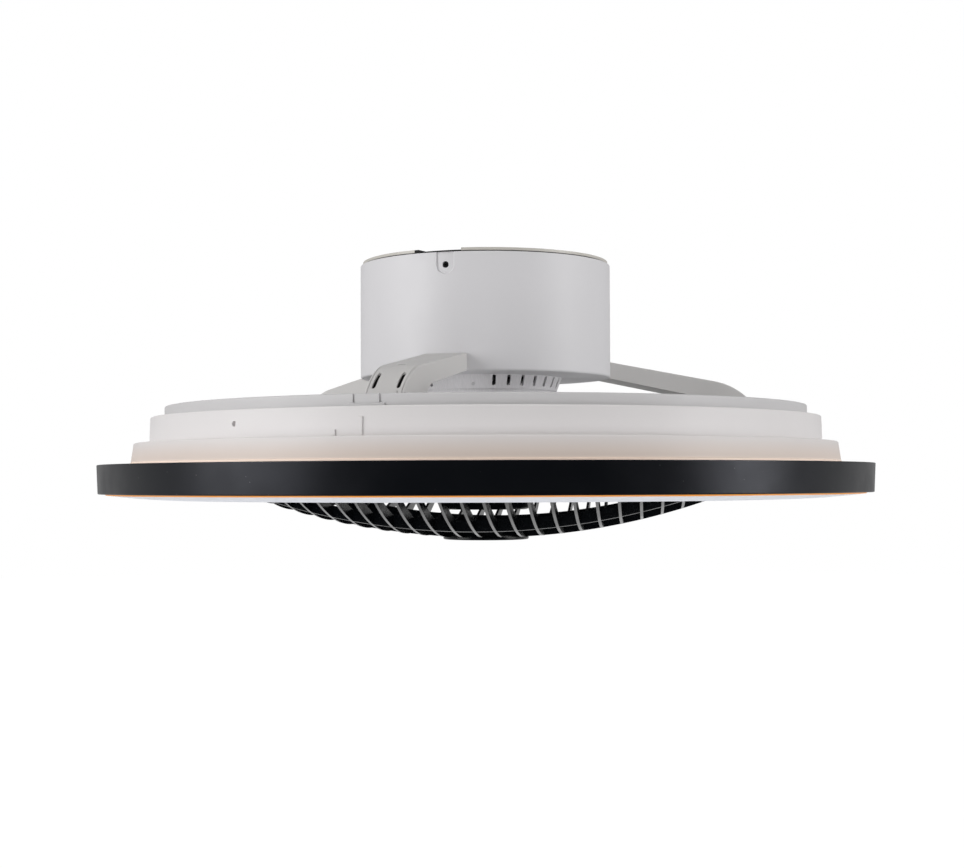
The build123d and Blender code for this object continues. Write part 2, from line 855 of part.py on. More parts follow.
# Two screws in each blade foot
with BuildPart() as blade_screws:
    for index in range(blade_count):
        for side in (-1, 1):
            azimuth = index * 360 / blade_count - side * foot_screw_turn
            height = blade_middle + side * foot_screw_drop
            foot_face = hub_radius + foot_thickness
            radial_pin(azimuth, 0, height, blade_screw_radius, hub_radius - 5, foot_face)
            radial_pin(azimuth, 0, height, blade_screw_head, foot_face, foot_face + small_head_height)
blade_screws.part.label = "blade_screws"
export_step(blade_screws.part, "parts/blade_screws.step")

# Washer and nut that hold the hub on the shaft
with BuildPart() as hub_washer:
    ring(thread_radius + fit, washer_radius, boss_base - washer_thickness, boss_base)
hub_washer.part.label = "hub_washer"
export_step(hub_washer.part, "parts/hub_washer.step")

with BuildPart() as hub_nut:
    with BuildSketch(Plane.XY.offset(boss_base - washer_thickness - nut_height)) as hexagon:
        RegularPolygon(nut_width / 2, 6, major_radius=False)
        Circle(thread_radius + fit, mode=Mode.SUBTRACT)
    extrude(hexagon.sketch, amount=nut_height)
    chamfer(hub_nut.edges().group_by(Axis.Z)[0].filter_by(GeomType.LINE), 0.5)
hub_nut.part.label = "hub_nut"
export_step(hub_nut.part, "parts/hub_nut.step")

# Cap that closes the hub from below
with BuildPart() as hub_cap:
    turn(
        (0, hub_base - hub_cap_height),
        (hub_cap_radius, hub_base - hub_cap_height),
        (hub_radius, hub_base - 3),
        (hub_radius, hub_base),
        (hub_radius - hub_wall - fit, hub_base),
        (hub_radius - hub_wall - fit, hub_base + 5),
        (hub_radius - hub_wall - 2, hub_base + 5),
        (hub_radius - hub_wall - 2, hub_base - 2),
        (hub_cap_radius - 2.4, hub_base - hub_cap_height + 2.2),
        (0, hub_base - hub_cap_height + 2.2),
        rounded=[(hub_cap_radius, hub_base - hub_cap_height, 3.0)],
    )
hub_cap.part.label = "hub_cap"
export_step(hub_cap.part, "parts/hub_cap.step")

# Arm outline in its upright plane. The slopes run on below the frame ring's top,
# and each solid is then cut off there.
top_fall = math.tan(math.radians(arm_top_slope))
foot_fall = math.tan(math.radians(arm_foot_slope))
under_fall = math.tan(math.radians(arm_under_slope))
arm_top = canopy_base + arm_top_drop
arm_reach_down = 8.0
inner_start = canopy_radius - 4


def arm_edge(inset):
    """The arm's top edge: canopy end, bend corner and foot, set in by an inset."""
    start_height = arm_top - inset / math.cos(math.radians(arm_top_slope))
    foot_radius = arm_foot_radius - inset / math.sin(math.radians(arm_foot_slope))
    corner = foot_radius * foot_fall + frame_top - start_height - canopy_radius * top_fall
    corner = corner / (foot_fall - top_fall)
    corner_height = start_height - (corner - canopy_radius) * top_fall
    start = (inner_start, start_height + (canopy_radius - inner_start) * top_fall)
    foot = (foot_radius + arm_reach_down / foot_fall, frame_top - arm_reach_down)
    return start, (corner, corner_height), foot


def trim_to_plan(azimuth, margin, bottom, first=inner_start):
    """Keeps what lies over the arm's plan, which narrows towards the lamp."""
    far = arm_foot_radius + 20
    taper = (arm_inner_width - arm_outer_width) / 2 / (arm_foot_radius - canopy_radius)
    near_half = arm_inner_width / 2 - margin + taper * (canopy_radius - first)
    far_half = arm_outer_width / 2 - margin - taper * (far - arm_foot_radius)
    with BuildSketch(level_plane(azimuth, bottom)) as plan:
        with BuildLine():
            Polyline((first, near_half), (far, far_half), (far, -far_half), (first, -near_half), close=True)
        make_face()
    extrude(plan.sketch, amount=canopy_height, mode=Mode.INTERSECT)


def arm_screw_pattern(azimuth, radius, bottom, top, mode=Mode.ADD):
    """The two upright cylinders at the screws under one arm."""
    with BuildSketch(level_plane(azimuth, bottom)) as plan:
        with Locations((boss_circle, 0)):
            with GridLocations(0, 2 * boss_offset, 1, 2):
                Circle(radius)
    extrude(plan.sketch, amount=top - bottom, mode=mode)


def arm_side(azimuth, inset):
    """The arm's outline in its upright plane, set in by an inset. It runs on below the ring's top."""
    start, corner, foot = arm_edge(0)
    elbow_height = canopy_base + arm_under_rise - (arm_elbow_radius - canopy_radius) * under_fall
    near_height = canopy_base + arm_under_rise + (canopy_radius - inner_start) * under_fall
    with BuildSketch(radial_plane(azimuth)) as side:
        with BuildLine():
            FilletPolyline(start, corner, foot, radius=arm_bend)
            Polyline(foot, (arm_heel_radius, foot[1]), (arm_heel_radius, frame_top))
            FilletPolyline(
                (arm_heel_radius, frame_top), (arm_elbow_radius, elbow_height), (inner_start, near_height),
                radius=arm_elbow,
            )
            Line((inner_start, near_height), start)
        make_face()
        if inset:
            offset(amount=-inset)
    return side.sketch


def arm_core(azimuth):
    """The hollow inside an arm, open at the foot, round its two screw bosses."""
    with BuildPart() as core:
        extrude(arm_side(azimuth, arm_wall), amount=arm_inner_width, both=True)
        trim_to_plan(azimuth, arm_wall, frame_top - 1, first=canopy_radius + arm_end_block)
        arm_screw_pattern(azimuth, boss_size, frame_top, canopy_base, mode=Mode.SUBTRACT)
    return core.part


def lid_band(azimuth, margin):
    """The curved band at the outer bend of an arm that its slotted lid fills."""
    start, corner, foot = arm_edge(0)
    low_start, low_corner, low_foot = arm_edge(lid_thickness)
    with BuildPart() as band:
        with BuildSketch(radial_plane(azimuth)) as side:
            with BuildLine():
                FilletPolyline(start, corner, foot, radius=arm_bend)
                Line(foot, low_foot)
                FilletPolyline(low_foot, low_corner, low_start, radius=arm_bend - lid_thickness)
                Line(low_start, start)
            make_face()
        extrude(side.sketch, amount=arm_inner_width, both=True)
        trim_to_plan(azimuth, lid_inset + margin, frame_top, first=lid_start + margin)
    return band.part


def arm_top_edges(body, azimuth):
    """The long edges along both sides of an arm's top."""
    edges = []
    for edge in body.edges():
        middle = edge @ 0.5
        outwards = middle.dot(Vector(*polar(1, azimuth)))
        aside = abs(middle.dot(Vector(*polar(1, azimuth + 90))))
        slope_height = arm_top - (outwards - canopy_radius) * top_fall
        foot_height = frame_top + (arm_foot_radius - outwards) * foot_fall
        if aside > arm_outer_width / 4 and middle.Z > min(slope_height, foot_height) - arm_bend / 10:
            if abs((edge % 0.5).dot(Vector(*polar(1, azimuth)))) > 0.1:
                edges.append(edge)
    return edges


def gate_plane(azimuth):
    """The plane on an arm's top where its small round gate mark lies."""
    lean = math.radians(arm_top_slope)
    height = arm_top - (gate_radius - canopy_radius) * top_fall
    origin = polar(gate_radius, azimuth, height)
    upright_dir = polar(math.sin(lean), azimuth, math.cos(lean))
    return Plane(origin=origin, x_dir=polar(1, azimuth + 90), z_dir=upright_dir)


def arm(azimuth):
    """One hollow arm, from the canopy wall to the frame ring."""
    core = arm_core(azimuth)
    rebate = lid_band(azimuth, 0)
    with BuildPart() as body:
        extrude(arm_side(azimuth, 0), amount=arm_inner_width, both=True)
        trim_to_plan(azimuth, 0, frame_top - arm_reach_down)
        fillet(arm_top_edges(body, azimuth), arm_edge_rounding)
        disc(frame_radius, frame_top - arm_reach_down, frame_top, mode=Mode.SUBTRACT)
        add(core, mode=Mode.SUBTRACT)
        add(rebate, mode=Mode.SUBTRACT)
        with BuildSketch(gate_plane(azimuth)) as mark:
            Circle(gate_mark)
        extrude(mark.sketch, amount=gate_depth, both=True, mode=Mode.SUBTRACT)
        disc(canopy_radius, frame_top, canopy_top, mode=Mode.SUBTRACT)
        arm_screw_pattern(
            azimuth, arm_screw_radius + fit, frame_top, frame_top + arm_screw_bite,
            mode=Mode.SUBTRACT,
        )
        for aside in (-arm_screw_offset, arm_screw_offset):
            radial_pin(
                azimuth, aside, arm_screw_height, arm_screw_radius + fit,
                inner_start, canopy_radius + arm_end_block - 1, mode=Mode.SUBTRACT,
            )
        with BuildSketch(level_plane(azimuth, frame_top + window_floor)) as windows:
            with Locations(((lid_slot_start + lid_slot_end) / 2, 0)):
                with GridLocations(0, 2 * lid_slot_offset, 1, 2):
                    Rectangle(
                        lid_slot_end - lid_slot_start + 2 * window_margin,
                        lid_slot_width + 2 * window_margin,
                    )
        extrude(windows.sketch, amount=arm_inner_width, mode=Mode.SUBTRACT)
    return body


def arm_lid(azimuth):
    """The slotted lid that fills the rebate at the outer bend."""
    with BuildPart() as lid:
        add(lid_band(azimuth, lid_gap))
        with BuildSketch(level_plane(azimuth, frame_top)) as slots:
            with Locations(((lid_slot_start + lid_slot_end) / 2, 0)):
                with GridLocations(0, 2 * lid_slot_offset, 1, 2):
                    SlotOverall(lid_slot_end - lid_slot_start, lid_slot_width)
            with Locations((nick_start, nick_offset)):
                Rectangle(arm_foot_radius - nick_start, nick_width, align=(Align.MIN, Align.CENTER))
        extrude(slots.sketch, amount=arm_inner_width, mode=Mode.SUBTRACT)
    return lid


# The lamp lead leaves the driver case, runs through the front arm and drops into
# the lamp socket. Its points lie in the arm's upright plane.
driver_height = base_top + case_height / 2
lead_points = [
    (lead_start, driver_height),
    (lead_drop_radius, driver_height),
    (lead_drop_radius, arm_screw_height),
    (canopy_radius + arm_end_block + 6, arm_screw_height),
    (lead_end_radius, frame_top + lead_rise),
    (lead_end_radius, frame_top - moulding - lead_entry),
]


def lead_run(radius, mode=Mode.ADD):
    """A round bar along the lead's path."""
    with BuildLine(radial_plane(arm_azimuths[0])) as path:
        FilletPolyline(*lead_points, radius=lead_bend)
    with BuildSketch(facing_plane(arm_azimuths[0], lead_start, driver_height)) as section:
        Circle(radius)
    sweep(section.sketch, path=path.line, mode=mode)


with BuildPart() as lead_tunnel:
    lead_run(lead_radius + fit)

with BuildPart() as lamp_lead:
    lead_run(lead_radius)
lamp_lead.part.label = "lamp_lead"
export_step(lamp_lead.part, "parts/lamp_lead.step")

for name, azimuth in zip(arm_names, arm_azimuths):
    with BuildPart() as body:
        add(arm(azimuth).part)
        if azimuth == arm_azimuths[0]:
            add(lead_tunnel.part, mode=Mode.SUBTRACT)
    body.part.label = f"arm_{name}"
    export_step(body.part, f"parts/arm_{name}.step")
    lid = arm_lid(azimuth)
    lid.part.label = f"arm_lid_{name}"
    export_step(lid.part, f"parts/arm_lid_{name}.step")

# Screws from inside the canopy into the arms
with BuildPart() as arm_screws_canopy:
    head_face = math.sqrt((canopy_radius - steel) ** 2 - (arm_screw_offset + arm_screw_head) ** 2)
    for azimuth in arm_azimuths:
        for aside in (-arm_screw_offset, arm_screw_offset):
            radial_pin(
                azimuth, aside, arm_screw_height, arm_screw_radius,
                head_face, canopy_radius + arm_end_block - 1.5,
            )
            radial_pin(
                azimuth, aside, arm_screw_height, arm_screw_head,
                head_face - large_head_height, head_face,
            )
arm_screws_canopy.part.label = "arm_screws_canopy"
export_step(arm_screws_canopy.part, "parts/arm_screws_canopy.step")

# Frame ring: three snap blocks outside, three hooks and a guide rib below
ring_under = frame_top - moulding
skirt_base = lamp_top + seat
lug_base = lamp_top - lug_height
hook_outer = lamp_lip - lug_depth - seat
hook_inner = hook_outer - hook_wall
hook_base = lug_base - seat - hook_foot
ledge_low = skirt_base + snap_ledge_rise
with BuildPart() as frame_ring:
    turn(
        (duct_radius, frame_top),
        (frame_radius, frame_top),
        (frame_radius, skirt_base),
        (frame_radius - moulding, skirt_base),
        (frame_radius - moulding, ring_under),
        (duct_radius, ring_under),
        rounded=[(frame_radius, frame_top, frame_corner)],
    )
    ring(lamp_lip - seat - moulding, lamp_lip - seat, lamp_top - guide_depth, ring_under)
    for step in range(3):
        azimuth = snap_azimuth + step * third
        sector(
            hook_inner, lamp_lip, azimuth + lamp_twist / 2, lug_span + lamp_twist + hook_gap,
            hook_base - 1, ring_under, mode=Mode.SUBTRACT,
        )
        sector(hook_inner, hook_outer, azimuth, lug_span, hook_base, ring_under)
        sector(hook_inner, lamp_lip - 1, azimuth, lug_span, hook_base, hook_base + hook_foot)
        sector(
            frame_radius - 1, frame_radius + snap_ledge_reach, azimuth, snap_ledge_span,
            ledge_low, ledge_low + snap_ledge_height,
        )
        for side in (-1, 1):
            sector(
                frame_radius - snap_groove_depth, frame_radius + 1, azimuth + side * snap_groove_span / 2,
                math.degrees(snap_groove_width / frame_radius),
                ledge_low + snap_ledge_height, frame_top + 1, mode=Mode.SUBTRACT,
            )
    for azimuth in arm_azimuths:
        arm_screw_pattern(azimuth, arm_screw_radius + slack, ring_under, frame_top, mode=Mode.SUBTRACT)
    add(lead_tunnel.part, mode=Mode.SUBTRACT)
frame_ring.part.label = "frame_ring"
export_step(frame_ring.part, "parts/frame_ring.step")

# Round duct that the fan turns in, with four ledges for the grille
flange_under = ring_under - duct_wall
duct_base = diffuser_base + duct_rise
ledge_base = duct_base + ledge_rise
ledge_pitch = 360 / grille_lug_count
with BuildPart() as air_duct:
    turn(
        (duct_radius, ring_under),
        (duct_radius + duct_flange, ring_under),
        (duct_radius + duct_flange, flange_under),
        (duct_radius + duct_wall, flange_under),
        (duct_radius + duct_wall, duct_base),
        (duct_radius, duct_base),
        rounded=[(duct_radius + duct_wall, flange_under, 1.5)],
    )
    for step in range(grille_lug_count):
        azimuth = step * ledge_pitch
        sector(
            duct_radius - ledge_reach, duct_radius + duct_wall / 2, azimuth, grille_ledge_span,
            ledge_base, ledge_base + ledge_height,
        )
        sector(
            duct_radius - ledge_reach, duct_radius + duct_wall / 2,
            azimuth - grille_lug_span / 2 - ledge_stop, ledge_stop,
            ledge_base, ledge_base + ledge_height + grille_lug_height + 1,
        )
    for azimuth in arm_azimuths:
        arm_screw_pattern(azimuth, arm_screw_radius + slack, flange_under, ring_under, mode=Mode.SUBTRACT)
air_duct.part.label = "air_duct"
export_step(air_duct.part, "parts/air_duct.step")

# Screws from below through the duct's flange and the ring into the arms
with BuildPart() as arm_screws_frame:
    for azimuth in arm_azimuths:
        arm_screw_pattern(azimuth, arm_screw_radius, flange_under, frame_top + arm_screw_bite - 0.5)
        arm_screw_pattern(azimuth, arm_screw_head, flange_under - large_head_height, flange_under)
arm_screws_frame.part.label = "arm_screws_frame"
export_step(arm_screws_frame.part, "parts/arm_screws_frame.step")

# Block with the lamp's spring contacts, under the ring at the front arm
with BuildPart() as lamp_socket:
    with BuildSketch(level_plane(arm_azimuths[0], ring_under - contact_height)) as plan:
        with Locations((lead_end_radius, 0)):
            RectangleRounded(contact_length, contact_width, 1.5)
    extrude(plan.sketch, amount=contact_height)
    add(lead_tunnel.part, mode=Mode.SUBTRACT)
lamp_socket.part.label = "lamp_socket"
export_step(lamp_socket.part, "parts/lamp_socket.step")

# Lamp body: middle step, lower step, foot, screw posts, three lugs and two marks
foot_base = trim_top + halo_thickness
post_base = shelf_top - moulding - post_height
middle_low = middle_radius + middle_draft
with BuildPart() as lamp_body:
    turn(
        (lamp_lip, lamp_top),
        (middle_radius, lamp_top),
        (middle_low, shelf_top),
        (lower_radius, shelf_top),
        (lower_radius + lower_flare, foot_base),
        (foot_inner, foot_base),
        (foot_inner, foot_base + lamp_foot),
        (lower_radius + lower_flare - moulding, foot_base + lamp_foot),
        (lower_radius - moulding, shelf_top - moulding),
        (middle_low - moulding, shelf_top - moulding),
        (middle_radius - moulding, lamp_top - moulding),
        (lamp_lip, lamp_top - moulding),
        rounded=[(middle_radius, lamp_top, middle_corner), (lower_radius, shelf_top, lower_corner)],
    )
    for step in range(3):
        azimuth = snap_azimuth + step * third
        sector(lamp_lip - lug_depth, lamp_lip + 2, azimuth, lug_span, lug_base, lamp_top)
    with PolarLocations(post_circle, lamp_screw_count):
        with Locations((0, 0, post_base)):
            upright(post_radius, 0, post_height + moulding / 2)
    with PolarLocations(post_circle, lamp_screw_count):
        with Locations((0, 0, post_base)):
            upright(small_screw + fit, 0, post_height - 1, mode=Mode.SUBTRACT)
    with PolarLocations(trim_screw_circle, lamp_screw_count, 360 / lamp_screw_count / 2):
        with Locations((0, 0, foot_base)):
            upright(small_screw + fit, 0, lamp_foot, mode=Mode.SUBTRACT)
    sector(
        middle_radius - 1, middle_low + mark_relief, mark_azimuth, math.degrees(mark_width / middle_radius),
        shelf_top + 0.2, shelf_top + 0.2 + mark_height,
    )
    sector(
        middle_radius - 1, middle_low + mark_relief, mark_azimuth - lamp_twist,
        math.degrees(short_mark_width / middle_radius),
        shelf_top + 0.5, shelf_top + 0.5 + short_mark_height,
    )
    radial_pin(
        drain_azimuth, 0, lamp_top - drain_drop, drain_radius,
        middle_radius - 2 * moulding, middle_low + 1, mode=Mode.SUBTRACT,
    )
lamp_body.part.label = "lamp_body"
export_step(lamp_body.part, "parts/lamp_body.step")

# Steel carrier plate under the posts
with BuildPart() as lamp_plate:
    ring(diffuser_inner, foot_inner - 0.5, post_base - sheet, post_base)
    with PolarLocations(post_circle, lamp_screw_count):
        with Locations((0, 0, post_base - sheet)):
            upright(small_screw + slack, 0, sheet, mode=Mode.SUBTRACT)
lamp_plate.part.label = "lamp_plate"
export_step(lamp_plate.part, "parts/lamp_plate.step")

with BuildPart() as lamp_plate_screws:
    with PolarLocations(post_circle, lamp_screw_count):
        with Locations((0, 0, post_base - sheet)):
            upright(small_screw, 0, sheet + post_height - 2)
        with Locations((0, 0, post_base - sheet - small_head_height)):
            upright(small_head, 0, small_head_height)
lamp_plate_screws.part.label = "lamp_plate_screws"
export_step(lamp_plate_screws.part, "parts/lamp_plate_screws.step")

# Curved contact pad that the socket's springs slide on while the lamp twists
pad_span = math.degrees(contact_width / lead_end_radius) + lamp_twist + 1
with BuildPart() as contact_pad:
    sector(
        lead_end_radius - contact_length / 2 + 1, lead_end_radius + contact_length / 2 - 1,
        arm_azimuths[0] - lamp_twist / 2, pad_span, post_base, ring_under - contact_height - seat,
    )
contact_pad.part.label = "contact_pad"
export_step(contact_pad.part, "parts/contact_pad.step")

# Three curved LED boards under the plate, with two rows of chips
board_top = post_base - sheet
with BuildPart() as led_boards:
    for step in range(3):
        sector(
            board_inner, board_outer, step * third, third - board_gap,
            board_top - board_thickness, board_top,
        )
led_boards.part.label = "led_boards"
export_step(led_boards.part, "parts/led_boards.step")

with BuildPart() as led_chips:
    for radius, count in chip_rows:
        with PolarLocations(radius, count, 180 / count):
            with Locations((0, 0, board_top - board_thickness - chip_height)):
                Box(chip_length, chip_width, chip_height, align=(Align.CENTER, Align.CENTER, Align.MIN))
led_chips.part.label = "led_chips"
export_step(led_chips.part, "parts/led_chips.step")

# Light strip between the lamp's foot and the trim
with BuildPart() as halo_strip:
    ring(foot_inner, lower_radius + lower_flare + halo_reach, trim_top, foot_base)
    with PolarLocations(trim_screw_circle, lamp_screw_count, 360 / lamp_screw_count / 2):
        with Locations((0, 0, trim_top)):
            upright(small_screw + slack, 0, halo_thickness, mode=Mode.SUBTRACT)
halo_strip.part.label = "halo_strip"
export_step(halo_strip.part, "parts/halo_strip.step")

# Black trim: top plate, outer wall, inturned lip and ribs that press on the diffuser
lip_top = trim_base + trim_lip
strip_top = lip_top + amber_flange
flange_top = strip_top + diffuser_wall
trim_low = trim_radius - trim_draft
with BuildPart() as trim_ring:
    turn(
        (foot_inner, trim_top),
        (trim_radius, trim_top),
        (trim_low, trim_base),
        (lip_radius, trim_base),
        (lip_radius, lip_top),
        (trim_low - trim_wall, lip_top),
        (trim_radius - trim_wall, trim_top - moulding),
        (foot_inner, trim_top - moulding),
        rounded=[(trim_radius, trim_top, trim_corner), (trim_low, trim_base, trim_corner)],
    )
    for step in range(trim_rib_count):
        sector(
            amber_inner, trim_low - trim_wall / 2, step * 360 / trim_rib_count, trim_rib_span,
            flange_top, trim_top - moulding / 2,
        )
    with PolarLocations(trim_screw_circle, lamp_screw_count, 360 / lamp_screw_count / 2):
        with Locations((0, 0, trim_top - moulding)):
            upright(small_screw + slack, 0, moulding, mode=Mode.SUBTRACT)
trim_ring.part.label = "trim_ring"
export_step(trim_ring.part, "parts/trim_ring.step")

with BuildPart() as trim_screws:
    with PolarLocations(trim_screw_circle, lamp_screw_count, 360 / lamp_screw_count / 2):
        with Locations((0, 0, trim_top - moulding)):
            upright(small_screw, 0, moulding + halo_thickness + lamp_foot)
        with Locations((0, 0, trim_top - moulding - small_head_height)):
            upright(small_head, 0, small_head_height)
trim_screws.part.label = "trim_screws"
export_step(trim_screws.part, "parts/trim_screws.step")

# Amber light strip that shows along the trim's lower edge
flange_radius = trim_low - trim_wall - seat
with BuildPart() as amber_strip:
    turn(
        (amber_inner, trim_base - amber_reveal),
        (lip_radius - seat, trim_base - amber_reveal),
        (lip_radius - seat, lip_top),
        (flange_radius, lip_top),
        (flange_radius, strip_top),
        (amber_inner, strip_top),
    )
amber_strip.part.label = "amber_strip"
export_step(amber_strip.part, "parts/amber_strip.step")

# Diffuser: flat inside, falling away to the trim, with an inner wall up to the plate
diffuser_outer = amber_inner - seat
diffuser_edge = trim_base - amber_reveal - slack
with BuildPart() as diffuser:
    with BuildSketch(Plane.XZ) as section:
        with BuildLine():
            outer_curve = TangentArc(
                (diffuser_flat, diffuser_base), (diffuser_outer, diffuser_edge), tangent=(1, 0),
            )
            Polyline(
                outer_curve @ 1,
                (diffuser_outer, strip_top),
                (flange_radius, strip_top),
                (flange_radius, flange_top),
                (diffuser_outer - diffuser_wall, flange_top),
                (diffuser_outer - diffuser_wall, diffuser_edge + diffuser_wall),
            )
            inner_curve = TangentArc(
                (diffuser_flat, diffuser_base + diffuser_wall),
                (diffuser_outer - diffuser_wall, diffuser_edge + diffuser_wall), tangent=(1, 0),
            )
            Polyline(
                inner_curve @ 0,
                (diffuser_inner + diffuser_wall, diffuser_base + diffuser_wall),
                (diffuser_inner + diffuser_wall, post_base - sheet),
                (diffuser_inner, post_base - sheet),
                (diffuser_inner, diffuser_base),
                outer_curve @ 0,
            )
        make_face()
        fillet(section.vertices().sort_by_distance((diffuser_inner, diffuser_base))[0], 1.0)
    revolve(section.sketch, axis=Axis.Z)
diffuser.part.label = "diffuser"
export_step(diffuser.part, "parts/diffuser.step")

# Dished grille: parallel slats that end level with the flange, cross walls and the flange
flange_up = duct_base - seat
flange_down = flange_up - grille_flange_thickness
dish_low = flange_down - dish_depth
dish_radius = (dish_edge ** 2 + dish_depth ** 2) / (2 * dish_depth)
slat_reach = collar_radius - collar_wall - slack
collar_top = flange_up + collar_height
lug_low = ledge_base + ledge_height + seat
with BuildPart() as grille:
    with BuildSketch(Plane.XY.offset(dish_low)) as plan:
        with GridLocations(slat_pitch, 0, 2 * int(slat_reach / slat_pitch) + 1, 1):
            Rectangle(slat_width, 2 * slat_reach)
        with GridLocations(0, cross_spacing, 1, cross_count):
            Rectangle(2 * slat_reach, slat_width)
        Circle(cap_spigot + cap_ring_wall)
        Circle(cap_spigot, mode=Mode.SUBTRACT)
        Circle(slat_reach, mode=Mode.INTERSECT)
    extrude(plan.sketch.rotate(Axis.Z, slat_turn), amount=dish_depth * 2)
    with BuildSketch(Plane.XZ) as dish:
        with BuildLine():
            low = CenterArc((0, dish_low + dish_radius), dish_radius, -90, 30)
            high = CenterArc((0, dish_low + dish_radius + slat_depth), dish_radius, -90, 30)
            Line(low @ 0, high @ 0)
            Line(low @ 1, high @ 1)
        make_face()
    revolve(dish.sketch, axis=Axis.Z, mode=Mode.INTERSECT)
    disc(slat_reach + 1, flange_up, flange_up + collar_height, mode=Mode.SUBTRACT)
    turn(
        (rim_inner, flange_down),
        (grille_flange, flange_down),
        (grille_flange, flange_up),
        (rim_inner, flange_up),
        rounded=[(grille_flange, flange_down, grille_flange_corner)],
    )
    disc(cap_radius + 1, dish_low - 1, dish_low + cap_seat, mode=Mode.SUBTRACT)
grille.part.label = "grille"
export_step(grille.part, "parts/grille.step")

# Twist collar with four lugs, welded on the grille's flange
with BuildPart() as grille_collar:
    ring(collar_radius - collar_wall, collar_radius, flange_up, collar_top)
    for step in range(grille_lug_count):
        sector(
            collar_radius - 1, collar_radius + grille_lug_reach, step * ledge_pitch, grille_lug_span,
            lug_low, lug_low + grille_lug_height,
        )
grille_collar.part.label = "grille_collar"
export_step(grille_collar.part, "parts/grille_collar.step")

# Black cap pressed into the grille's centre ring
cap_top = dish_low + cap_seat
with BuildPart() as grille_cap:
    turn(
        (0, cap_top - cap_thickness),
        (cap_radius, cap_top - cap_thickness),
        (cap_radius, cap_top),
        (cap_spigot - fit, cap_top),
        (cap_spigot - fit, cap_top + cap_spigot_height),
        (cap_spigot - 2, cap_top + cap_spigot_height),
        (cap_spigot - 2, cap_top),
        (0, cap_top),
        rounded=[(cap_radius, cap_top - cap_thickness, 1.0)],
    )
grille_cap.part.label = "grille_cap"
export_step(grille_cap.part, "parts/grille_cap.step")

# Driver case on the motor base, with its board and lid
case_middle = -(case_gap + case_width) / 2
with BuildPart() as driver_case:
    with Locations((0, case_middle, base_top)):
        Box(case_length, case_width, case_height - lid_plate, align=(Align.CENTER, Align.CENTER, Align.MIN))
        with Locations((0, 0, case_wall)):
            Box(
                case_length - 2 * case_wall, case_width - 2 * case_wall, case_height,
                align=(Align.CENTER, Align.CENTER, Align.MIN), mode=Mode.SUBTRACT,
            )
        with GridLocations(case_length - 16, case_width - 12, 2, 2):
            upright(2.5, 0, case_wall + standoff)
    add(lead_tunnel.part, mode=Mode.SUBTRACT)
driver_case.part.label = "driver_case"
export_step(driver_case.part, "parts/driver_case.step")

with BuildPart() as driver_board:
    with Locations((0, case_middle, base_top + case_wall + standoff)):
        Box(
            case_length - 2 * case_wall - 2, case_width - 2 * case_wall - 2, board_thickness,
            align=(Align.CENTER, Align.CENTER, Align.MIN),
        )
        with Locations((-16, 4, board_thickness)):
            Box(core_length, core_width, core_height, align=(Align.CENTER, Align.CENTER, Align.MIN))
        with Locations((20, 2, board_thickness)):
            upright(capacitor_radius, 0, capacitor_height)
driver_board.part.label = "driver_board"
export_step(driver_board.part, "parts/driver_board.step")

with BuildPart() as driver_lid:
    with Locations((0, case_middle, base_top + case_height - lid_plate)):
        Box(case_length, case_width, lid_plate, align=(Align.CENTER, Align.CENTER, Align.MIN))
        with Locations((0, 0, -1.5)):
            Box(
                case_length - 2 * case_wall - 0.2, case_width - 2 * case_wall - 0.2, 1.5,
                align=(Align.CENTER, Align.CENTER, Align.MIN),
            )
    fillet(driver_lid.edges().group_by(Axis.Z)[-1], 1.0)
driver_lid.part.label = "driver_lid"
export_step(driver_lid.part, "parts/driver_lid.step")

# Potted fan controller beside the driver case
with BuildPart() as fan_controller:
    with Locations((0, -case_middle, base_top)):
        Box(controller_length, case_width, controller_height, align=(Align.CENTER, Align.CENTER, Align.MIN))
    fillet(fan_controller.edges().filter_by(Axis.Z), 2.0)
    fillet(fan_controller.edges().group_by(Axis.Z)[-1], 1.0)
fan_controller.part.label = "fan_controller"
export_step(fan_controller.part, "parts/fan_controller.step")

# Terminal block under the ceiling plate
with BuildPart() as terminal_block:
    with Locations((0, -terminal_offset, -steel)):
        Box(terminal_length, terminal_width, terminal_height, align=(Align.CENTER, Align.CENTER, Align.MAX))
        with Locations((0, 0, -terminal_height)):
            with GridLocations(terminal_length / 3, 0, 3, 1):
                upright(terminal_hole, 0, terminal_height * 0.6, mode=Mode.SUBTRACT)
    with BuildSketch(Plane.XZ.offset(terminal_offset - terminal_width)) as entries:
        with Locations((0, -steel - terminal_height / 2)):
            with GridLocations(terminal_length / 3, 0, 3, 1):
                Circle(terminal_hole)
    extrude(entries.sketch, amount=2 * terminal_width, mode=Mode.SUBTRACT)
terminal_block.part.label = "terminal_block"
export_step(terminal_block.part, "parts/terminal_block.step")
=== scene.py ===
import math

import bmesh
import bpy
import numpy as np
from bpy.props import FloatProperty, FloatVectorProperty, PointerProperty
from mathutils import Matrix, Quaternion, Vector


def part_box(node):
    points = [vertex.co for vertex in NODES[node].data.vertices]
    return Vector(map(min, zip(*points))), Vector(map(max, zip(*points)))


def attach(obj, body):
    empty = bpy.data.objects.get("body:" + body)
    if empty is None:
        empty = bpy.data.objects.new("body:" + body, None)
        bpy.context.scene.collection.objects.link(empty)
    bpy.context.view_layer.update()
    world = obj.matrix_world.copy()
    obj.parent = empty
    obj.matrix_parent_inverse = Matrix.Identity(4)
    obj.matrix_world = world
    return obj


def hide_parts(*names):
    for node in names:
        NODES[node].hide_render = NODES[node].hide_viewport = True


bl_info = {
    "name": "Ring Light Ceiling Fan",
    "version": (1, 0, 0),
    "blender": (4, 5, 0),
    "location": "3D View > Sidebar > Ceiling Fan",
    "description": "Dresses a flush ceiling fan with a ring light in moulded, painted and lit finishes",
    "category": "Object",
}

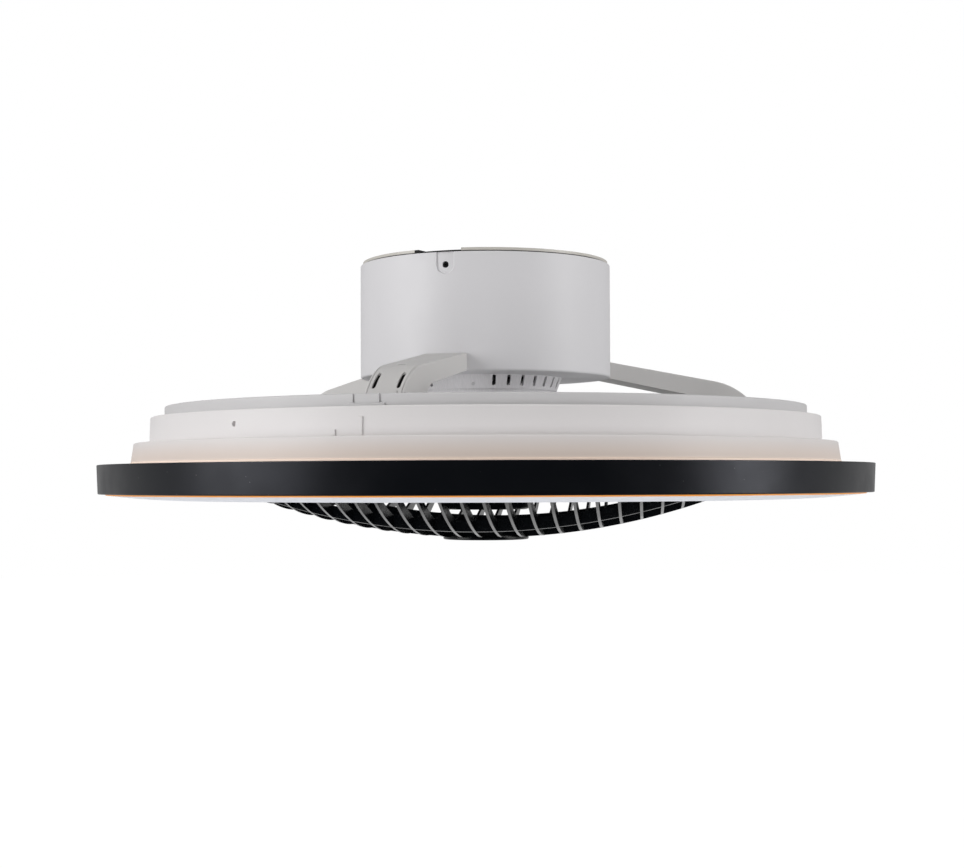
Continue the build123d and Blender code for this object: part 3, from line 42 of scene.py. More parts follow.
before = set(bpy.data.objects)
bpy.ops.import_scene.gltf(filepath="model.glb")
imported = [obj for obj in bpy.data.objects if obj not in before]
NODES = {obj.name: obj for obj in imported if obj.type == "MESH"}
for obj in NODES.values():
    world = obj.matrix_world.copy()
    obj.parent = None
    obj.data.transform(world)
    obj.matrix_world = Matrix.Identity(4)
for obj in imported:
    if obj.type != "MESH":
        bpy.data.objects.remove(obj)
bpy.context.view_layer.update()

# One millimetre in metres. Shapes are worked out in millimetres and turned into metres at the end.
MM = 0.001

# Azimuths in degrees round the vertical axis, as in the CAD model
ARM_AZIMUTHS = (252.2, 12.2, 132.2)
SCREW_AZIMUTHS = (252.4, 12.4, 132.4)
SNAP_AZIMUTHS = (251.9, 11.9, 131.9)
NOTCH_TURN = -14.6
DRAIN_AZIMUTH = 229.4

# Height of the ledge under the snaps, and how far the drain hole lies below the lamp body's top
LEDGE_BASE = -129.0
DRAIN_DROP = 10.4

# From the lamp body's outer edge in to its upper mouth and in to its lower mouth
LIP_INSET = 32.5
FOOT_INSET = 12.0

# Degrees round the axis that each hook of the frame ring and each lug of the lamp takes up
HOOK_SPAN = 3.6

# Centre of the arms' bend as (distance from the axis, height). The black cloths behind the lids' slots
# are painted shade that keeps the slots dark. They lie under it: how deep, how thick and how wide, and
# the degrees of the bend that they cover.
BEND_CENTRE = (186.4, -156.0)
SHADE_CLOTH_DEPTH = 3.2
SHADE_CLOTH_THICKNESS = 0.4
SHADE_CLOTH_HALF_WIDTH = 11.6
SHADE_CLOTH_BEND = (26.0, 51.0)

# Camera, found from the photograph's outline: metres, degrees and the lens in millimetres
CAMERA_PLACE = (-0.00307, -1.3788, -0.18166)
CAMERA_TILT = 91.657
CAMERA_ROLL = -0.185
CAMERA_LENS = 61.91
FAN_MIDDLE = (0, 0, -0.12)


def top_of(node):
    """A node's upper height in millimetres."""
    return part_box(node)[1][2] / MM


def base_of(node):
    """A node's lower height in millimetres."""
    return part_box(node)[0][2] / MM


def reach_of(node):
    """A round node's outer radius in millimetres, as half of its width along X."""
    low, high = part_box(node)
    return (high[0] - low[0]) / 2 / MM


# Settings


def colour_setting(name, description, default):
    """A colour that the user may change."""
    return FloatVectorProperty(
        name=name, description=description, default=default, subtype="COLOR", min=0, max=1)


def length_setting(name, description, default):
    """A length in metres that the user may change."""
    return FloatProperty(name=name, description=description, default=default, unit="LENGTH")


def glow_setting(name, description, default):
    """The brightness of a lit surface."""
    return FloatProperty(name=name, description=description, default=default, min=0)


def power_setting(name, description, default):
    """The power of a lamp in watts."""
    return FloatProperty(name=name, description=description, default=default, unit="POWER")


class CanopySettings(bpy.types.PropertyGroup):
    """Canopy: sizes and colours"""

    paint: colour_setting("Paint", "Colour of the canopy's satin paint", (0.60, 0.592, 0.607))
    plate: colour_setting("Plate", "Colour of the ceiling plate's edge", (0.50, 0.48, 0.44))
    pocket_width: length_setting("Pocket width", "Width of the pocket at each side screw", 0.0144)
    pocket_depth: length_setting("Pocket depth", "Depth of the pressed pocket", 0.0013)
    screw_height: length_setting("Screw height", "Height of the side screws under the ceiling", -0.013)
    lip: length_setting("Lower lip", "Rounding where the wall meets the floor", 0.0016)


class ArmSettings(bpy.types.PropertyGroup):
    """Arms: size and colours"""

    plastic: colour_setting("Plastic", "Colour of the moulded arms", (0.515, 0.504, 0.497))
    cone: colour_setting("Cone", "Colour of the vented cone", (0.76, 0.745, 0.765))
    bend: length_setting("Bend", "Radius of the arm's outer bend", 0.060)


class RingSettings(bpy.types.PropertyGroup):
    """Rings: step sizes and colours"""

    # Painted shade, in part: the frame ring's grey is darker than the lamp body's, though both are
    # probably one plastic, for the shade on the recessed ring
    upper: colour_setting("Upper ring", "Colour of the frame ring", (0.52, 0.512, 0.517))
    lamp: colour_setting("Lamp body", "Colour of the lamp's two steps", (0.67, 0.65, 0.65))
    # Painted light and shade: the lower edge colour is the lit strip's warm light on the lamp body
    painted_strip_light: colour_setting(
        "Lower edge", "Colour of the lamp body next to the lit strip", (0.52, 0.455, 0.42))
    trim: colour_setting("Trim", "Colour of the wide black trim", (0.0028, 0.0034, 0.0046))
    middle: length_setting("Middle step", "Radius of the middle step at its top", 0.2737)
    shelf: length_setting("Shelf", "Height of the lower step's top under the ceiling", -0.1504)
    lower: length_setting("Lower step", "Radius of the lower step at its top", 0.2867)
    corner: length_setting("Corner", "Rounding of the steps' upper corners", 0.001)
    wall: length_setting("Wall", "Thickness of the mouldings", 0.0024)


class LightSettings(bpy.types.PropertyGroup):
    """Light strips: colours and strengths"""

    halo: colour_setting("Upper glow", "Colour of the strip above the trim", (1.0, 0.72, 0.55))
    halo_strength: glow_setting("Upper strength", "Brightness of the upper strip", 0.14)
    amber: colour_setting("Lower glow", "Colour of the strip below the trim", (1.0, 0.36, 0.03))
    amber_strength: glow_setting("Lower strength", "Brightness of the lower strip", 0.45)
    opal: colour_setting("Diffuser", "Colour of the opal diffuser", (0.76, 0.77, 0.82))
    opal_strength: glow_setting("Diffuser strength", "Brightness of the diffuser's even glow", 0.16)


class FanSettings(bpy.types.PropertyGroup):
    """Fan and grille: colours"""

    blade: colour_setting("Blades", "Colour of the blades and their hub", (0.0030, 0.0042, 0.0058))
    grille: colour_setting("Grille", "Colour of the grille and its cap", (0.0030, 0.0040, 0.0055))
    duct: colour_setting("Duct", "Colour of the round air duct", (0.0040, 0.0050, 0.0065))


class StageSettings(bpy.types.PropertyGroup):
    """Stage: floor and lamps"""

    floor: length_setting("Floor height", "Height of the floor under the ceiling", -2.45)
    left: power_setting("Left lamp", "Power of the left softbox", 34.0)
    right: power_setting("Right lamp", "Power of the right softbox", 26.0)
    high: power_setting("High lamp", "Power of the overhead softbox", 7.0)
    front: power_setting("Front lamp", "Power of the front softbox", 10.0)
    low: power_setting("Low lamp", "Power of the softbox under the fan", 7.0)
    duct: power_setting("Duct lamp", "Power of the light that comes up out of the duct", 0.16)


# Meshes from whole arrays

# Edges that turn by more than this stay sharp, on the new pieces and on the CAD nodes
SHARP = math.radians(30)
NODE_SHARP = math.radians(28)


def grid_faces(rows, columns, wrap_rows=False, wrap_columns=False, start=0):
    """Quads of a rows by columns grid: each joins a point to the next in its row and its column."""
    r = np.arange(rows if wrap_rows else rows - 1)[:, None]
    c = np.arange(columns if wrap_columns else columns - 1)[None, :]
    down, across = (r + 1) % rows, (c + 1) % columns
    corners = [r * columns + c, r * columns + across, down * columns + across, down * columns + c]
    return np.stack(corners, axis=-1).reshape(-1, 4) + start


def tidy_mesh(mesh, outward=True):
    """Closes poles by merging their points, then turns every face outwards, unless outward is off."""
    shape = bmesh.new()
    shape.from_mesh(mesh)
    bmesh.ops.remove_doubles(shape, verts=shape.verts, dist=2e-6)
    bmesh.ops.dissolve_degenerate(shape, edges=shape.edges, dist=1e-7)
    if outward:
        bmesh.ops.recalc_face_normals(shape, faces=shape.faces)
    shape.to_mesh(mesh)
    shape.free()


def add_mesh(name, points, faces, finish, body, stands_for=()):
    """A named piece of one finish, from points in millimetres and faces. It rides on a body, its slot
    has the finish's name, and stands_for names the CAD nodes that it replaces."""
    mesh = bpy.data.meshes.new(name)
    mesh.from_pydata((np.asarray(points) * MM).tolist(), [], faces)
    mesh.update()
    mesh.polygons.foreach_set("use_smooth", np.ones(len(mesh.polygons), bool))
    piece = bpy.data.objects.new(name, mesh)
    bpy.context.scene.collection.objects.link(piece)
    tidy_mesh(mesh)
    mesh.set_sharp_from_angle(angle=SHARP)
    mesh.materials.append(finish_for(finish))
    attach(piece, body)
    if stands_for:
        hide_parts(*stands_for)


def rounded_outline(corners):
    """A closed outline in (radius, height) with rounded corners. Each corner is (radius, height,
    rounding): its arc of five points touches both edges at rounding times the tangent of half the turn,
    and every straight run gets a point close to each end so that the shading stays flat along it."""
    corners = np.array(corners, float)
    points = corners[:, :2]
    before = np.roll(points, 1, axis=0) - points
    after = np.roll(points, -1, axis=0) - points
    lead, arc_share, lead_share = 0.35, 0.45, 0.48
    outline = []
    for point, back, ahead, rounding in zip(points, before, after, corners[:, 2]):
        back_length, ahead_length = np.linalg.norm(back), np.linalg.norm(ahead)
        back, ahead = back / back_length, ahead / ahead_length
        half_turn = (math.pi - math.acos(np.clip(back @ ahead, -1, 1))) / 2
        reach = min(rounding * math.tan(half_turn), arc_share * back_length, arc_share * ahead_length)
        middle = (back + ahead) / np.linalg.norm(back + ahead)
        centre = point + middle * reach / math.tan(half_turn) / math.cos(half_turn)
        first, last = point + back * reach - centre, point + ahead * reach - centre
        sweep = math.atan2(first[0] * last[1] - first[1] * last[0], first @ last)
        turn = np.linspace(0, sweep, 5)[:, None]
        side = np.array([-first[1], first[0]])
        arc = centre + np.cos(turn) * first + np.sin(turn) * side
        lead_in = point + back * min(reach + lead, lead_share * back_length)
        lead_out = point + ahead * min(reach + lead, lead_share * ahead_length)
        outline.append(np.vstack([lead_in, arc, lead_out]))
    return np.vstack(outline)


def turned(name, outline, finish, body, stands_for, angles=None, relief=None):
    """A ring-shaped piece: a closed outline turned about the axis. At each angle a, a point at
    (radius, height) goes to (radius cos a, radius sin a, height), and relief(a, radius, height) is
    added to its radius."""
    if angles is None:
        angles = np.linspace(0, 2 * math.pi, 360, endpoint=False)
    radius, height, angle = np.broadcast_arrays(outline[:, :1], outline[:, 1:], angles[None, :])
    if relief is not None:
        radius = radius + relief(angle, radius, height)
    points = np.stack([radius * np.cos(angle), radius * np.sin(angle), height], axis=-1)
    faces = grid_faces(*angle.shape, True, True).tolist()
    add_mesh(name, points.reshape(-1, 3), faces, finish, body, stands_for)


def add_bars(name, bars, finish, body):
    """A piece made of closed bars, each an array of loops along it: each loop is joined to the next one,
    and the first and last loops are closed by one face each."""
    points = np.stack(bars)
    count, along, around, _ = points.shape
    faces = []
    for start in range(0, count * along * around, along * around):
        faces += grid_faces(along, around, False, True, start).tolist()
        faces.append(list(range(start + around - 1, start - 1, -1)))
        faces.append(list(range(start + (along - 1) * around, start + along * around)))
    add_mesh(name, points.reshape(-1, 3), faces, finish, body)


def arc_block(inner, outer, azimuth, span, low, high, count=9):
    """Loops of a curved block: a rectangle from (inner, low) to (outer, high) carried round the axis
    over span degrees, centred on azimuth."""
    turn = np.radians(np.linspace(azimuth - span / 2, azimuth + span / 2, count))[:, None]
    away = np.array([inner, outer, outer, inner])[None, :]
    up = np.broadcast_to(np.array([low, low, high, high]), (count, 4))
    return np.stack([away * np.cos(turn), away * np.sin(turn), up], axis=-1)


def post(away, azimuth, radius, low, high):
    """Two circles of 24 points, one above the other, that make an upright post away from the axis."""
    turn, place = np.linspace(0, 2 * math.pi, 24, endpoint=False), math.radians(azimuth)
    x = away * math.cos(place) + radius * np.cos(turn)
    y = away * math.sin(place) + radius * np.sin(turn)
    return np.stack([np.column_stack([x, y, np.full(24, height)]) for height in (low, high)])


def smooth_step(value, low, high):
    """0 below low, 1 above high and an even S curve between them: 3 t squared less 2 t cubed."""
    t = np.clip((value - low) / (high - low), 0, 1)
    return t * t * (3 - 2 * t)


def plateau(value, low, high, edge):
    """1 between low and high, falling to 0 over the width edge at each end."""
    rise = smooth_step(value, low - edge / 2, low + edge / 2)
    return rise * (1 - smooth_step(value, high - edge / 2, high + edge / 2))


def turn_from(angle, azimuth):
    """Angles in radians, measured from an azimuth in degrees, from minus to plus half a turn."""
    return (angle - math.radians(azimuth) + math.pi) % (2 * math.pi) - math.pi


def patch(angle, height, radius, azimuth, width, low, high, edge=0.16):
    """1 on a rectangle of the outer face, width across and from low to high, and 0 off it."""
    across = turn_from(angle, azimuth) * radius
    return plateau(across, -width / 2, width / 2, edge) * plateau(height, low, high, edge)


def denser(outline, radius, slack, *clusters):
    """The outline with more points on its longest run whose radius lies within slack of the given one.
    Each cluster is (height, half width, count), and new points lie on the lines between the old ones."""
    near = np.flatnonzero(np.abs(outline[:, 0] - radius) < slack)
    runs = np.split(near, np.flatnonzero(np.diff(near) > 1) + 1)
    run = max(runs, key=lambda indices: np.ptp(outline[indices, 1]))
    away, heights = outline[run].T
    low, high = heights.min(), heights.max()
    fine = [np.linspace(low, high, 12)]
    fine += [np.linspace(height - half, height + half, count) for height, half, count in clusters]
    fine = np.concatenate(fine)
    fine = np.concatenate([heights, fine[(fine >= low) & (fine <= high)]])
    fine = np.unique(np.round(fine, 7))
    order = np.argsort(heights)
    away = np.interp(fine, heights[order], away[order])
    denser_run = np.column_stack([away, fine])
    if heights[0] > heights[-1]:
        denser_run = denser_run[::-1]
    return np.vstack([outline[:run[0]], denser_run, outline[run[-1] + 1:]])


def round_angles(count, clusters):
    """Angles round the axis in radians, denser at each cluster (azimuth, half span, count) in degrees."""
    runs = [np.linspace(0, 2 * math.pi, count, endpoint=False)]
    runs += [np.radians(np.linspace(a - h, a + h, n)) for a, h, n in clusters]
    return np.unique(np.round(np.concatenate(runs) % (2 * math.pi), 7))


# Finishes

FINISHES = {}

# The values between which a cloudy pattern mostly lies
CLOUD_SPAN = (0.3, 0.7)


class NodeGraph:
    """A shader's nodes, with short ways to add and join them."""

    def __init__(self, tree):
        self.nodes = tree.nodes
        self.links = tree.links

    def add(self, kind, **settings):
        """A new node with some of its settings."""
        node = self.nodes.new("ShaderNode" + kind)
        for name, value in settings.items():
            setattr(node, name, value)
        return node

    def feed(self, socket, value):
        """Joins another node's output to an input, or sets the input to a number or colour."""
        if isinstance(value, bpy.types.NodeSocket):
            self.links.new(value, socket)
        elif isinstance(value, tuple) and socket.type == "RGBA":
            socket.default_value = (*value, 1)
        else:
            socket.default_value = value

    def math(self, operation, *values):
        """One Math node; each input is a number or another node's output."""
        node = self.add("Math", operation=operation)
        for socket, value in zip(node.inputs, values):
            self.feed(socket, value)
        return node.outputs["Value"]

    def part(self, vector, which):
        """One part of a vector: X, Y or Z."""
        node = self.add("SeparateXYZ")
        self.feed(node.inputs["Vector"], vector)
        return node.outputs[which]

    def range(self, value, low, high, to_low=0.0, to_high=1.0, smooth=False):
        """value mapped from low..high to to_low..to_high."""
        node = self.add("MapRange", interpolation_type="SMOOTHSTEP" if smooth else "LINEAR")
        limits = {"From Min": low, "From Max": high, "To Min": to_low, "To Max": to_high}
        for name, number in {"Value": value, **limits}.items():
            self.feed(node.inputs[name], number)
        return node.outputs["Result"]

    def mix(self, factor, first, second, kind="RGBA"):
        """Goes from first to second, two colours or two numbers, as factor goes from 0 to 1."""
        node = self.add("Mix", data_type=kind)
        at, result = {"RGBA": (6, 2), "FLOAT": (2, 0)}[kind]
        for place, value in ((0, factor), (at, first), (at + 1, second)):
            self.feed(node.inputs[place], value)
        return node.outputs[result]


class Finish(NodeGraph):
    """A finish of one name on the piece's own Object coordinates."""

    def __init__(self, name, colour, roughness, metallic=0.0, specular=0.5):
        material = bpy.data.materials.new(name)
        material.use_nodes = True
        material.diffuse_color = (*colour, 1)
        super().__init__(material.node_tree)
        self.shader = self.nodes["Principled BSDF"]
        self.give("Base Color", colour)
        self.give("Roughness", roughness)
        self.give("Metallic", metallic)
        self.give("Specular IOR Level", specular)
        self.colour = colour
        self.roughness = roughness
        self.coordinates = self.add("TexCoord").outputs
        self.place = self.coordinates["Object"]
        self.relief = None
        FINISHES[name] = material

    def give(self, name, value):
        """Sets or joins one input of the shader."""
        self.feed(self.shader.inputs[name], value)

    def noise(self, scale, detail=3.0, vector=None, roughness=0.5):
        """A cloudy pattern with scale features to the metre."""
        node = self.add("TexNoise")
        node.inputs["Scale"].default_value = scale
        node.inputs["Detail"].default_value = detail
        node.inputs["Roughness"].default_value = roughness
        self.links.new(vector or self.place, node.inputs["Vector"])
        return node.outputs["Fac"]

    def axis(self, which):
        """One coordinate of the place, in metres."""
        return self.part(self.place, which)

    def distance(self, point):
        """Distance of the place from a point, in metres."""
        node = self.add("VectorMath", operation="DISTANCE")
        self.feed(node.inputs[0], self.place)
        self.feed(node.inputs[1], point)
        return node.outputs["Value"]

    def away(self):
        """Distance from the fan's axis, in metres."""
        squares = [self.math("MULTIPLY", self.axis(which), self.axis(which)) for which in "XY"]
        return self.math("SQRT", self.math("ADD", *squares))

    def around(self, across, up):
        """The place unrolled, for grain on round pieces: (turn round the axis, distance from it times
        across, height times up)."""
        node = self.add("CombineXYZ")
        self.feed(node.inputs["X"], self.math("ARCTAN2", self.axis("Y"), self.axis("X")))
        self.feed(node.inputs["Y"], self.math("MULTIPLY", self.away(), across))
        self.feed(node.inputs["Z"], self.math("MULTIPLY", self.axis("Z"), up))
        return node.outputs["Vector"]

    def mottle(self, amount, scale=14.0):
        """Slow light and dark clouds in the colour, as on any moulded or painted face."""
        darker = tuple(c * (1 - amount) for c in self.colour)
        lighter = tuple(min(1.0, c * (1 + amount)) for c in self.colour)
        colour = self.mix(self.range(self.noise(scale, 4.0), *CLOUD_SPAN), darker, lighter)
        self.give("Base Color", colour)
        return colour

    def sheen_clouds(self, spread, scale=35.0):
        """Roughness that drifts a little over the surface."""
        smoother, rougher = self.roughness - spread, self.roughness + spread
        self.give("Roughness", self.range(self.noise(scale, 5.0), *CLOUD_SPAN, smoother, rougher))

    def bump(self, height, distance, strength=1.0):
        """Adds a relief of the given distance in metres to the shading."""
        node = self.add("Bump")
        node.inputs["Distance"].default_value = distance
        node.inputs["Strength"].default_value = strength
        self.links.new(height, node.inputs["Height"])
        if self.relief is not None:
            self.links.new(self.relief, node.inputs["Normal"])
        self.relief = node.outputs["Normal"]
        self.give("Normal", self.relief)

    def glow(self, colour, strength):
        """Light given off by the surface."""
        self.give("Emission Color", colour)
        self.give("Emission Strength", strength)


def moulded(name, colour, roughness=0.42, grain=0.00003, amount=0.012, specular=0.4):
    """Moulded plastic: a fine spark-eroded grain under slow clouds of colour and sheen."""
    finish = Finish(name, tuple(colour), roughness, specular=specular)
    finish.mottle(amount)
    finish.sheen_clouds(0.05)
    finish.bump(finish.noise(2600.0, 2.0), grain, 0.6)
    finish.bump(finish.noise(22.0, 2.0), 0.0002, 0.35)
    return finish


def painted(name, colour, roughness):
    """Sprayed satin paint: a faint orange peel over pressed sheet."""
    finish = Finish(name, tuple(colour), roughness, specular=0.45)
    finish.mottle(0.01, 9.0)
    finish.sheen_clouds(0.04, 60.0)
    finish.bump(finish.noise(900.0, 2.0), 0.00004, 0.5)
    finish.bump(finish.noise(16.0, 1.0), 0.0003, 0.25)
    return finish


def bright_metal(name, colour, roughness, fineness=40.0):
    """Metal with fine level scratches, fineness times as long as they are high."""
    finish = Finish(name, colour, roughness, metallic=1.0)
    finish.mottle(0.04, 60.0)
    stretched = finish.add("Mapping")
    stretched.inputs["Scale"].default_value = (1.0, 1.0, fineness)
    finish.feed(stretched.inputs["Vector"], finish.place)
    scratches = finish.noise(160.0, 6.0, stretched.outputs["Vector"])
    dull = finish.range(scratches, *CLOUD_SPAN, roughness * 0.75, roughness * 1.3)
    finish.give("Roughness", dull)
    finish.bump(scratches, 0.00002, 0.6)


def plate_finish(colour):
    """Pale painted plate, with painted shade in two places: the open groove under its edge, between 2.1
    and 3.2 mm below the ceiling, and upright walls inside 101 mm of the axis, as in its notches and
    slots."""
    plate = painted("plate_steel", colour, 0.4)
    below_edge = plate.range(plate.axis("Z"), -0.0021, -0.0023)
    above_base = plate.range(plate.axis("Z"), -0.0032, -0.0031)
    groove = plate.math("MULTIPLY", below_edge, above_base)
    inside = plate.range(plate.away(), 0.1013, 0.1010)
    upright = plate.math("ABSOLUTE", plate.part(plate.coordinates["Normal"], "Z"))
    wall = plate.math("MULTIPLY", inside, plate.range(upright, 0.6, 0.5))
    # Painted shade: near black in the groove and on the notch walls
    dark = plate.math("MAXIMUM", groove, wall)
    plate.give("Base Color", plate.mix(dark, plate.mottle(0.01), (0.02, 0.02, 0.022)))


def cone_finish(colour):
    """Pale plastic with flow marks that run down the cone."""
    cone = moulded("cone_plastic", colour, 0.4)
    streaks = cone.noise(120.0, 4.0, cone.around(0.5, 1.5))
    cone.bump(streaks, 0.0005, 0.6)
    dull = tuple(c * 0.9 for c in cone.colour)
    cone.give("Base Color", cone.mix(cone.range(streaks, 0.35, 0.65), dull, cone.colour))


def lamp_finish(rings):
    """Pale plastic with painted light from the lit strip under it: towards the strip its colour turns
    warm and darker and it glows a little, though it is no lamp. Inside the drain hole it is dark."""
    lamp = moulded("lamp_plastic", rings.lamp, 0.48, specular=0.3)
    low, high = base_of("lamp_body") * MM, rings.shelf
    # Painted light: warmer and darker towards the lit strip, for the strip's light on the plastic
    near = lamp.range(lamp.axis("Z"), high + 0.004, low, smooth=True)
    painted_strip_light = lamp.mix(near, lamp.mottle(0.012), tuple(rings.painted_strip_light))
    turn = math.radians(DRAIN_AZIMUTH)
    x, y = rings.middle * math.cos(turn), rings.middle * math.sin(turn)
    drain = (x, y, (top_of("lamp_body") - DRAIN_DROP) * MM)
    # Painted shade: dark brown inside the drain hole
    inside = lamp.range(lamp.distance(drain), 0.00195, 0.0019)
    lamp.give("Base Color", lamp.mix(inside, painted_strip_light, (0.16, 0.10, 0.06)))
    # Painted light: a faint glow towards the strip, strongest on the lowest 1.6 mm
    edge = lamp.range(lamp.axis("Z"), low + 0.0016, low + 0.0004, 0.0, 0.09, True)
    lamp.glow((1.0, 0.82, 0.68), lamp.math("MULTIPLY_ADD", near, 0.16, edge))


def pale_finishes(scene):
    """The paints and pale plastics that the photograph shows."""
    arms, rings = scene.fan_arms, scene.fan_rings
    painted("canopy_paint", scene.fan_canopy.paint, 0.5)
    moulded("arm_plastic", arms.plastic, 0.5, specular=0.3)
    moulded("lid_plastic", [min(1, c * 1.03) for c in arms.plastic], 0.48, specular=0.3)
    moulded("ring_plastic", rings.upper, 0.48, specular=0.3)
    plate_finish(scene.fan_canopy.plate)
    cone_finish(arms.cone)
    lamp_finish(rings)


def black_finishes(scene):
    """Black plastics, enamel and rubber. The motor base's black enamel is painted shade that keeps the
    cone's vents dark.
    """
    fan = scene.fan_blades
    trim = moulded("black_trim", scene.fan_rings.trim, 0.34, 0.00002, 0.1, 0.25)
    trim.give("Specular Tint", (0.86, 0.88, 1.0))
    specks = trim.range(trim.noise(420.0, 1.0), 0.79, 0.82)
    trim.give("Base Color", trim.mix(specks, trim.mottle(0.1), (0.07, 0.07, 0.07)))
    for name, colour in (
            ("fan_plastic", fan.blade), ("black_grille", fan.grille), ("duct_plastic", fan.duct)):
        black = moulded(name, colour, 0.26, 0.00002, 0.12, 0.3)
        black.bump(black.noise(30.0, 3.0, black.around(3.0, 8.0)), 0.00025, 0.25)
    screw = Finish("black_screw", (0.008, 0.008, 0.009), 0.6, specular=0.08)
    screw.mottle(0.2, 400.0)
    screw.bump(screw.noise(1800.0, 4.0), 0.00004, 0.6)
    # Painted shade: the motor base is black so that the cone's vents look dark
    shade_enamel = Finish("base_enamel", (0.012, 0.012, 0.013), 0.45)
    shade_enamel.mottle(0.15, 80.0)
    shade_enamel.sheen_clouds(0.08, 120.0)
    shade_enamel.bump(shade_enamel.noise(700.0, 6.0, roughness=0.65), 0.0002, 0.6)
    # Rubber: the grommet's own finish, and painted shade on the notch pads, notch blocks and slot cloths
    moulded("rubber", (0.014, 0.014, 0.014), 0.7, 0.0001, 0.1, 0.25)
    moulded("potting", (0.012, 0.012, 0.014), 0.3, 0.0001)


def lit_finishes(scene):
    """The lit strips, the opal diffuser and the light-emitting chips."""
    lights = scene.fan_lights
    halo = Finish("halo", (0.9, 0.75, 0.65), 0.5)
    halo.mottle(0.03, 30.0)
    halo.bump(halo.noise(1500.0), 0.00003, 0.4)
    halo.glow(tuple(lights.halo), lights.halo_strength)

    amber = Finish("amber", (0.50, 0.20, 0.03), 0.45, specular=0.2)
    amber.bump(amber.noise(1500.0), 0.00003, 0.4)
    paler = tuple(1 - (1 - c) * 0.86 for c in lights.amber)
    uneven = amber.range(amber.noise(16.0, 2.0), 0.35, 0.65)
    amber.glow(amber.mix(uneven, tuple(lights.amber), paler), lights.amber_strength)

    opal = Finish("opal", tuple(lights.opal), 0.5)
    opal.mottle(0.008, 8.0)
    opal.sheen_clouds(0.04, 20.0)
    opal.give("Subsurface Weight", 0.25)
    opal.give("Subsurface Radius", (0.006, 0.006, 0.006))
    opal.bump(opal.noise(2000.0), 0.00002, 0.5)
    opal.glow((0.86, 0.91, 1.0), lights.opal_strength)

    led = moulded("led", (0.85, 0.62, 0.14), 0.35)
    led.glow((1.0, 0.75, 0.45), 0.4)


def metal_finishes():
    """Screws, bearings, shaft, bell, magnets, laminations and windings."""
    bright_metal("zinc_screw", (0.62, 0.6, 0.55), 0.3)
    bright_metal("shaft_steel", (0.5, 0.5, 0.52), 0.25, 30.0)
    bright_metal("bell_steel", (0.42, 0.42, 0.44), 0.35, 25.0)
    bright_metal("bearing_steel", (0.6, 0.6, 0.62), 0.15)
    bright_metal("magnet", (0.3, 0.29, 0.27), 0.3)
    sheets = Finish("lamination_steel", (0.18, 0.18, 0.19), 0.4, metallic=0.8)
    stack = sheets.math("FRACT", sheets.math("MULTIPLY", sheets.axis("Z"), 2000.0))
    sheets.bump(sheets.range(stack, 0.0, 0.2), 0.00005, 0.8)
    sheets.mottle(0.1, 90.0)
    copper = Finish("copper", (0.55, 0.2, 0.06), 0.3, metallic=0.85)
    waves = copper.math("MULTIPLY", copper.noise(3.0, 0.0, copper.around(900.0, 900.0)), 40.0)
    copper.bump(copper.math("SINE", waves), 0.0002, 0.7)
    copper.mottle(0.12, 120.0)


def inner_finishes():
    """Plastics, boards and leads inside the fan."""
    moulded("socket_plastic", (0.64, 0.64, 0.6), 0.5)
    moulded("case_plastic", (0.7, 0.7, 0.68), 0.5)
    moulded("terminal_plastic", (0.68, 0.66, 0.6), 0.48)
    moulded("cage_plastic", (0.5, 0.42, 0.26), 0.5)
    moulded("lead_jacket", (0.55, 0.55, 0.55), 0.55, 0.00005)
    moulded("board", (0.02, 0.09, 0.035), 0.3)
    moulded("white_board", (0.75, 0.75, 0.72), 0.35)


def finish_for(name):
    """The finish of that name. All of them are made on the first use."""
    if not FINISHES:
        scene = bpy.context.scene
        pale_finishes(scene)
        black_finishes(scene)
        lit_finishes(scene)
        metal_finishes()
        inner_finishes()
    return FINISHES[name]


def smooth_group():
    """Joins a mesh's loose triangles and shades it smooth, except across its sharp edges."""
    group = bpy.data.node_groups.get("join_and_smooth")
    if group:
        return group
    group = bpy.data.node_groups.new("join_and_smooth", "GeometryNodeTree")
    for direction in ("INPUT", "OUTPUT"):
        group.interface.new_socket("Geometry", in_out=direction, socket_type="NodeSocketGeometry")
    add, link = group.nodes.new, group.links.new
    source, result = add("NodeGroupInput"), add("NodeGroupOutput")
    merge = add("GeometryNodeMergeByDistance")
    merge.inputs["Distance"].default_value = 4e-6
    faces, edges = add("GeometryNodeSetShadeSmooth"), add("GeometryNodeSetShadeSmooth")
    faces.domain, edges.domain = "FACE", "EDGE"
    edges.inputs["Shade Smooth"].default_value = False
    angle = add("GeometryNodeInputMeshEdgeAngle")
    sharp = add("FunctionNodeCompare")
    sharp.data_type, sharp.operation = "FLOAT", "GREATER_THAN"
    sharp.inputs["B"].default_value = NODE_SHARP
    link(source.outputs[0], merge.inputs["Geometry"])
    link(merge.outputs["Geometry"], faces.inputs["Geometry"])
    link(faces.outputs["Geometry"], edges.inputs["Geometry"])
    link(angle.outputs["Unsigned Angle"], sharp.inputs["A"])
    link(sharp.outputs["Result"], edges.inputs["Selection"])
    link(edges.outputs["Geometry"], result.inputs[0])
    return group


def dress(finish, *nodes):
    """Gives CAD nodes a finish and smooth shading; their shape stays."""
    for node in nodes:
        piece = NODES[node]
        for slot in piece.material_slots:
            slot.material = finish_for(finish)
        modifier = piece.modifiers.new("join_and_smooth", "NODES")
        modifier.node_group = smooth_group()
        normals = piece.modifiers.new("even_shading", "WEIGHTED_NORMAL")
        normals.keep_sharp = True


# Pieces


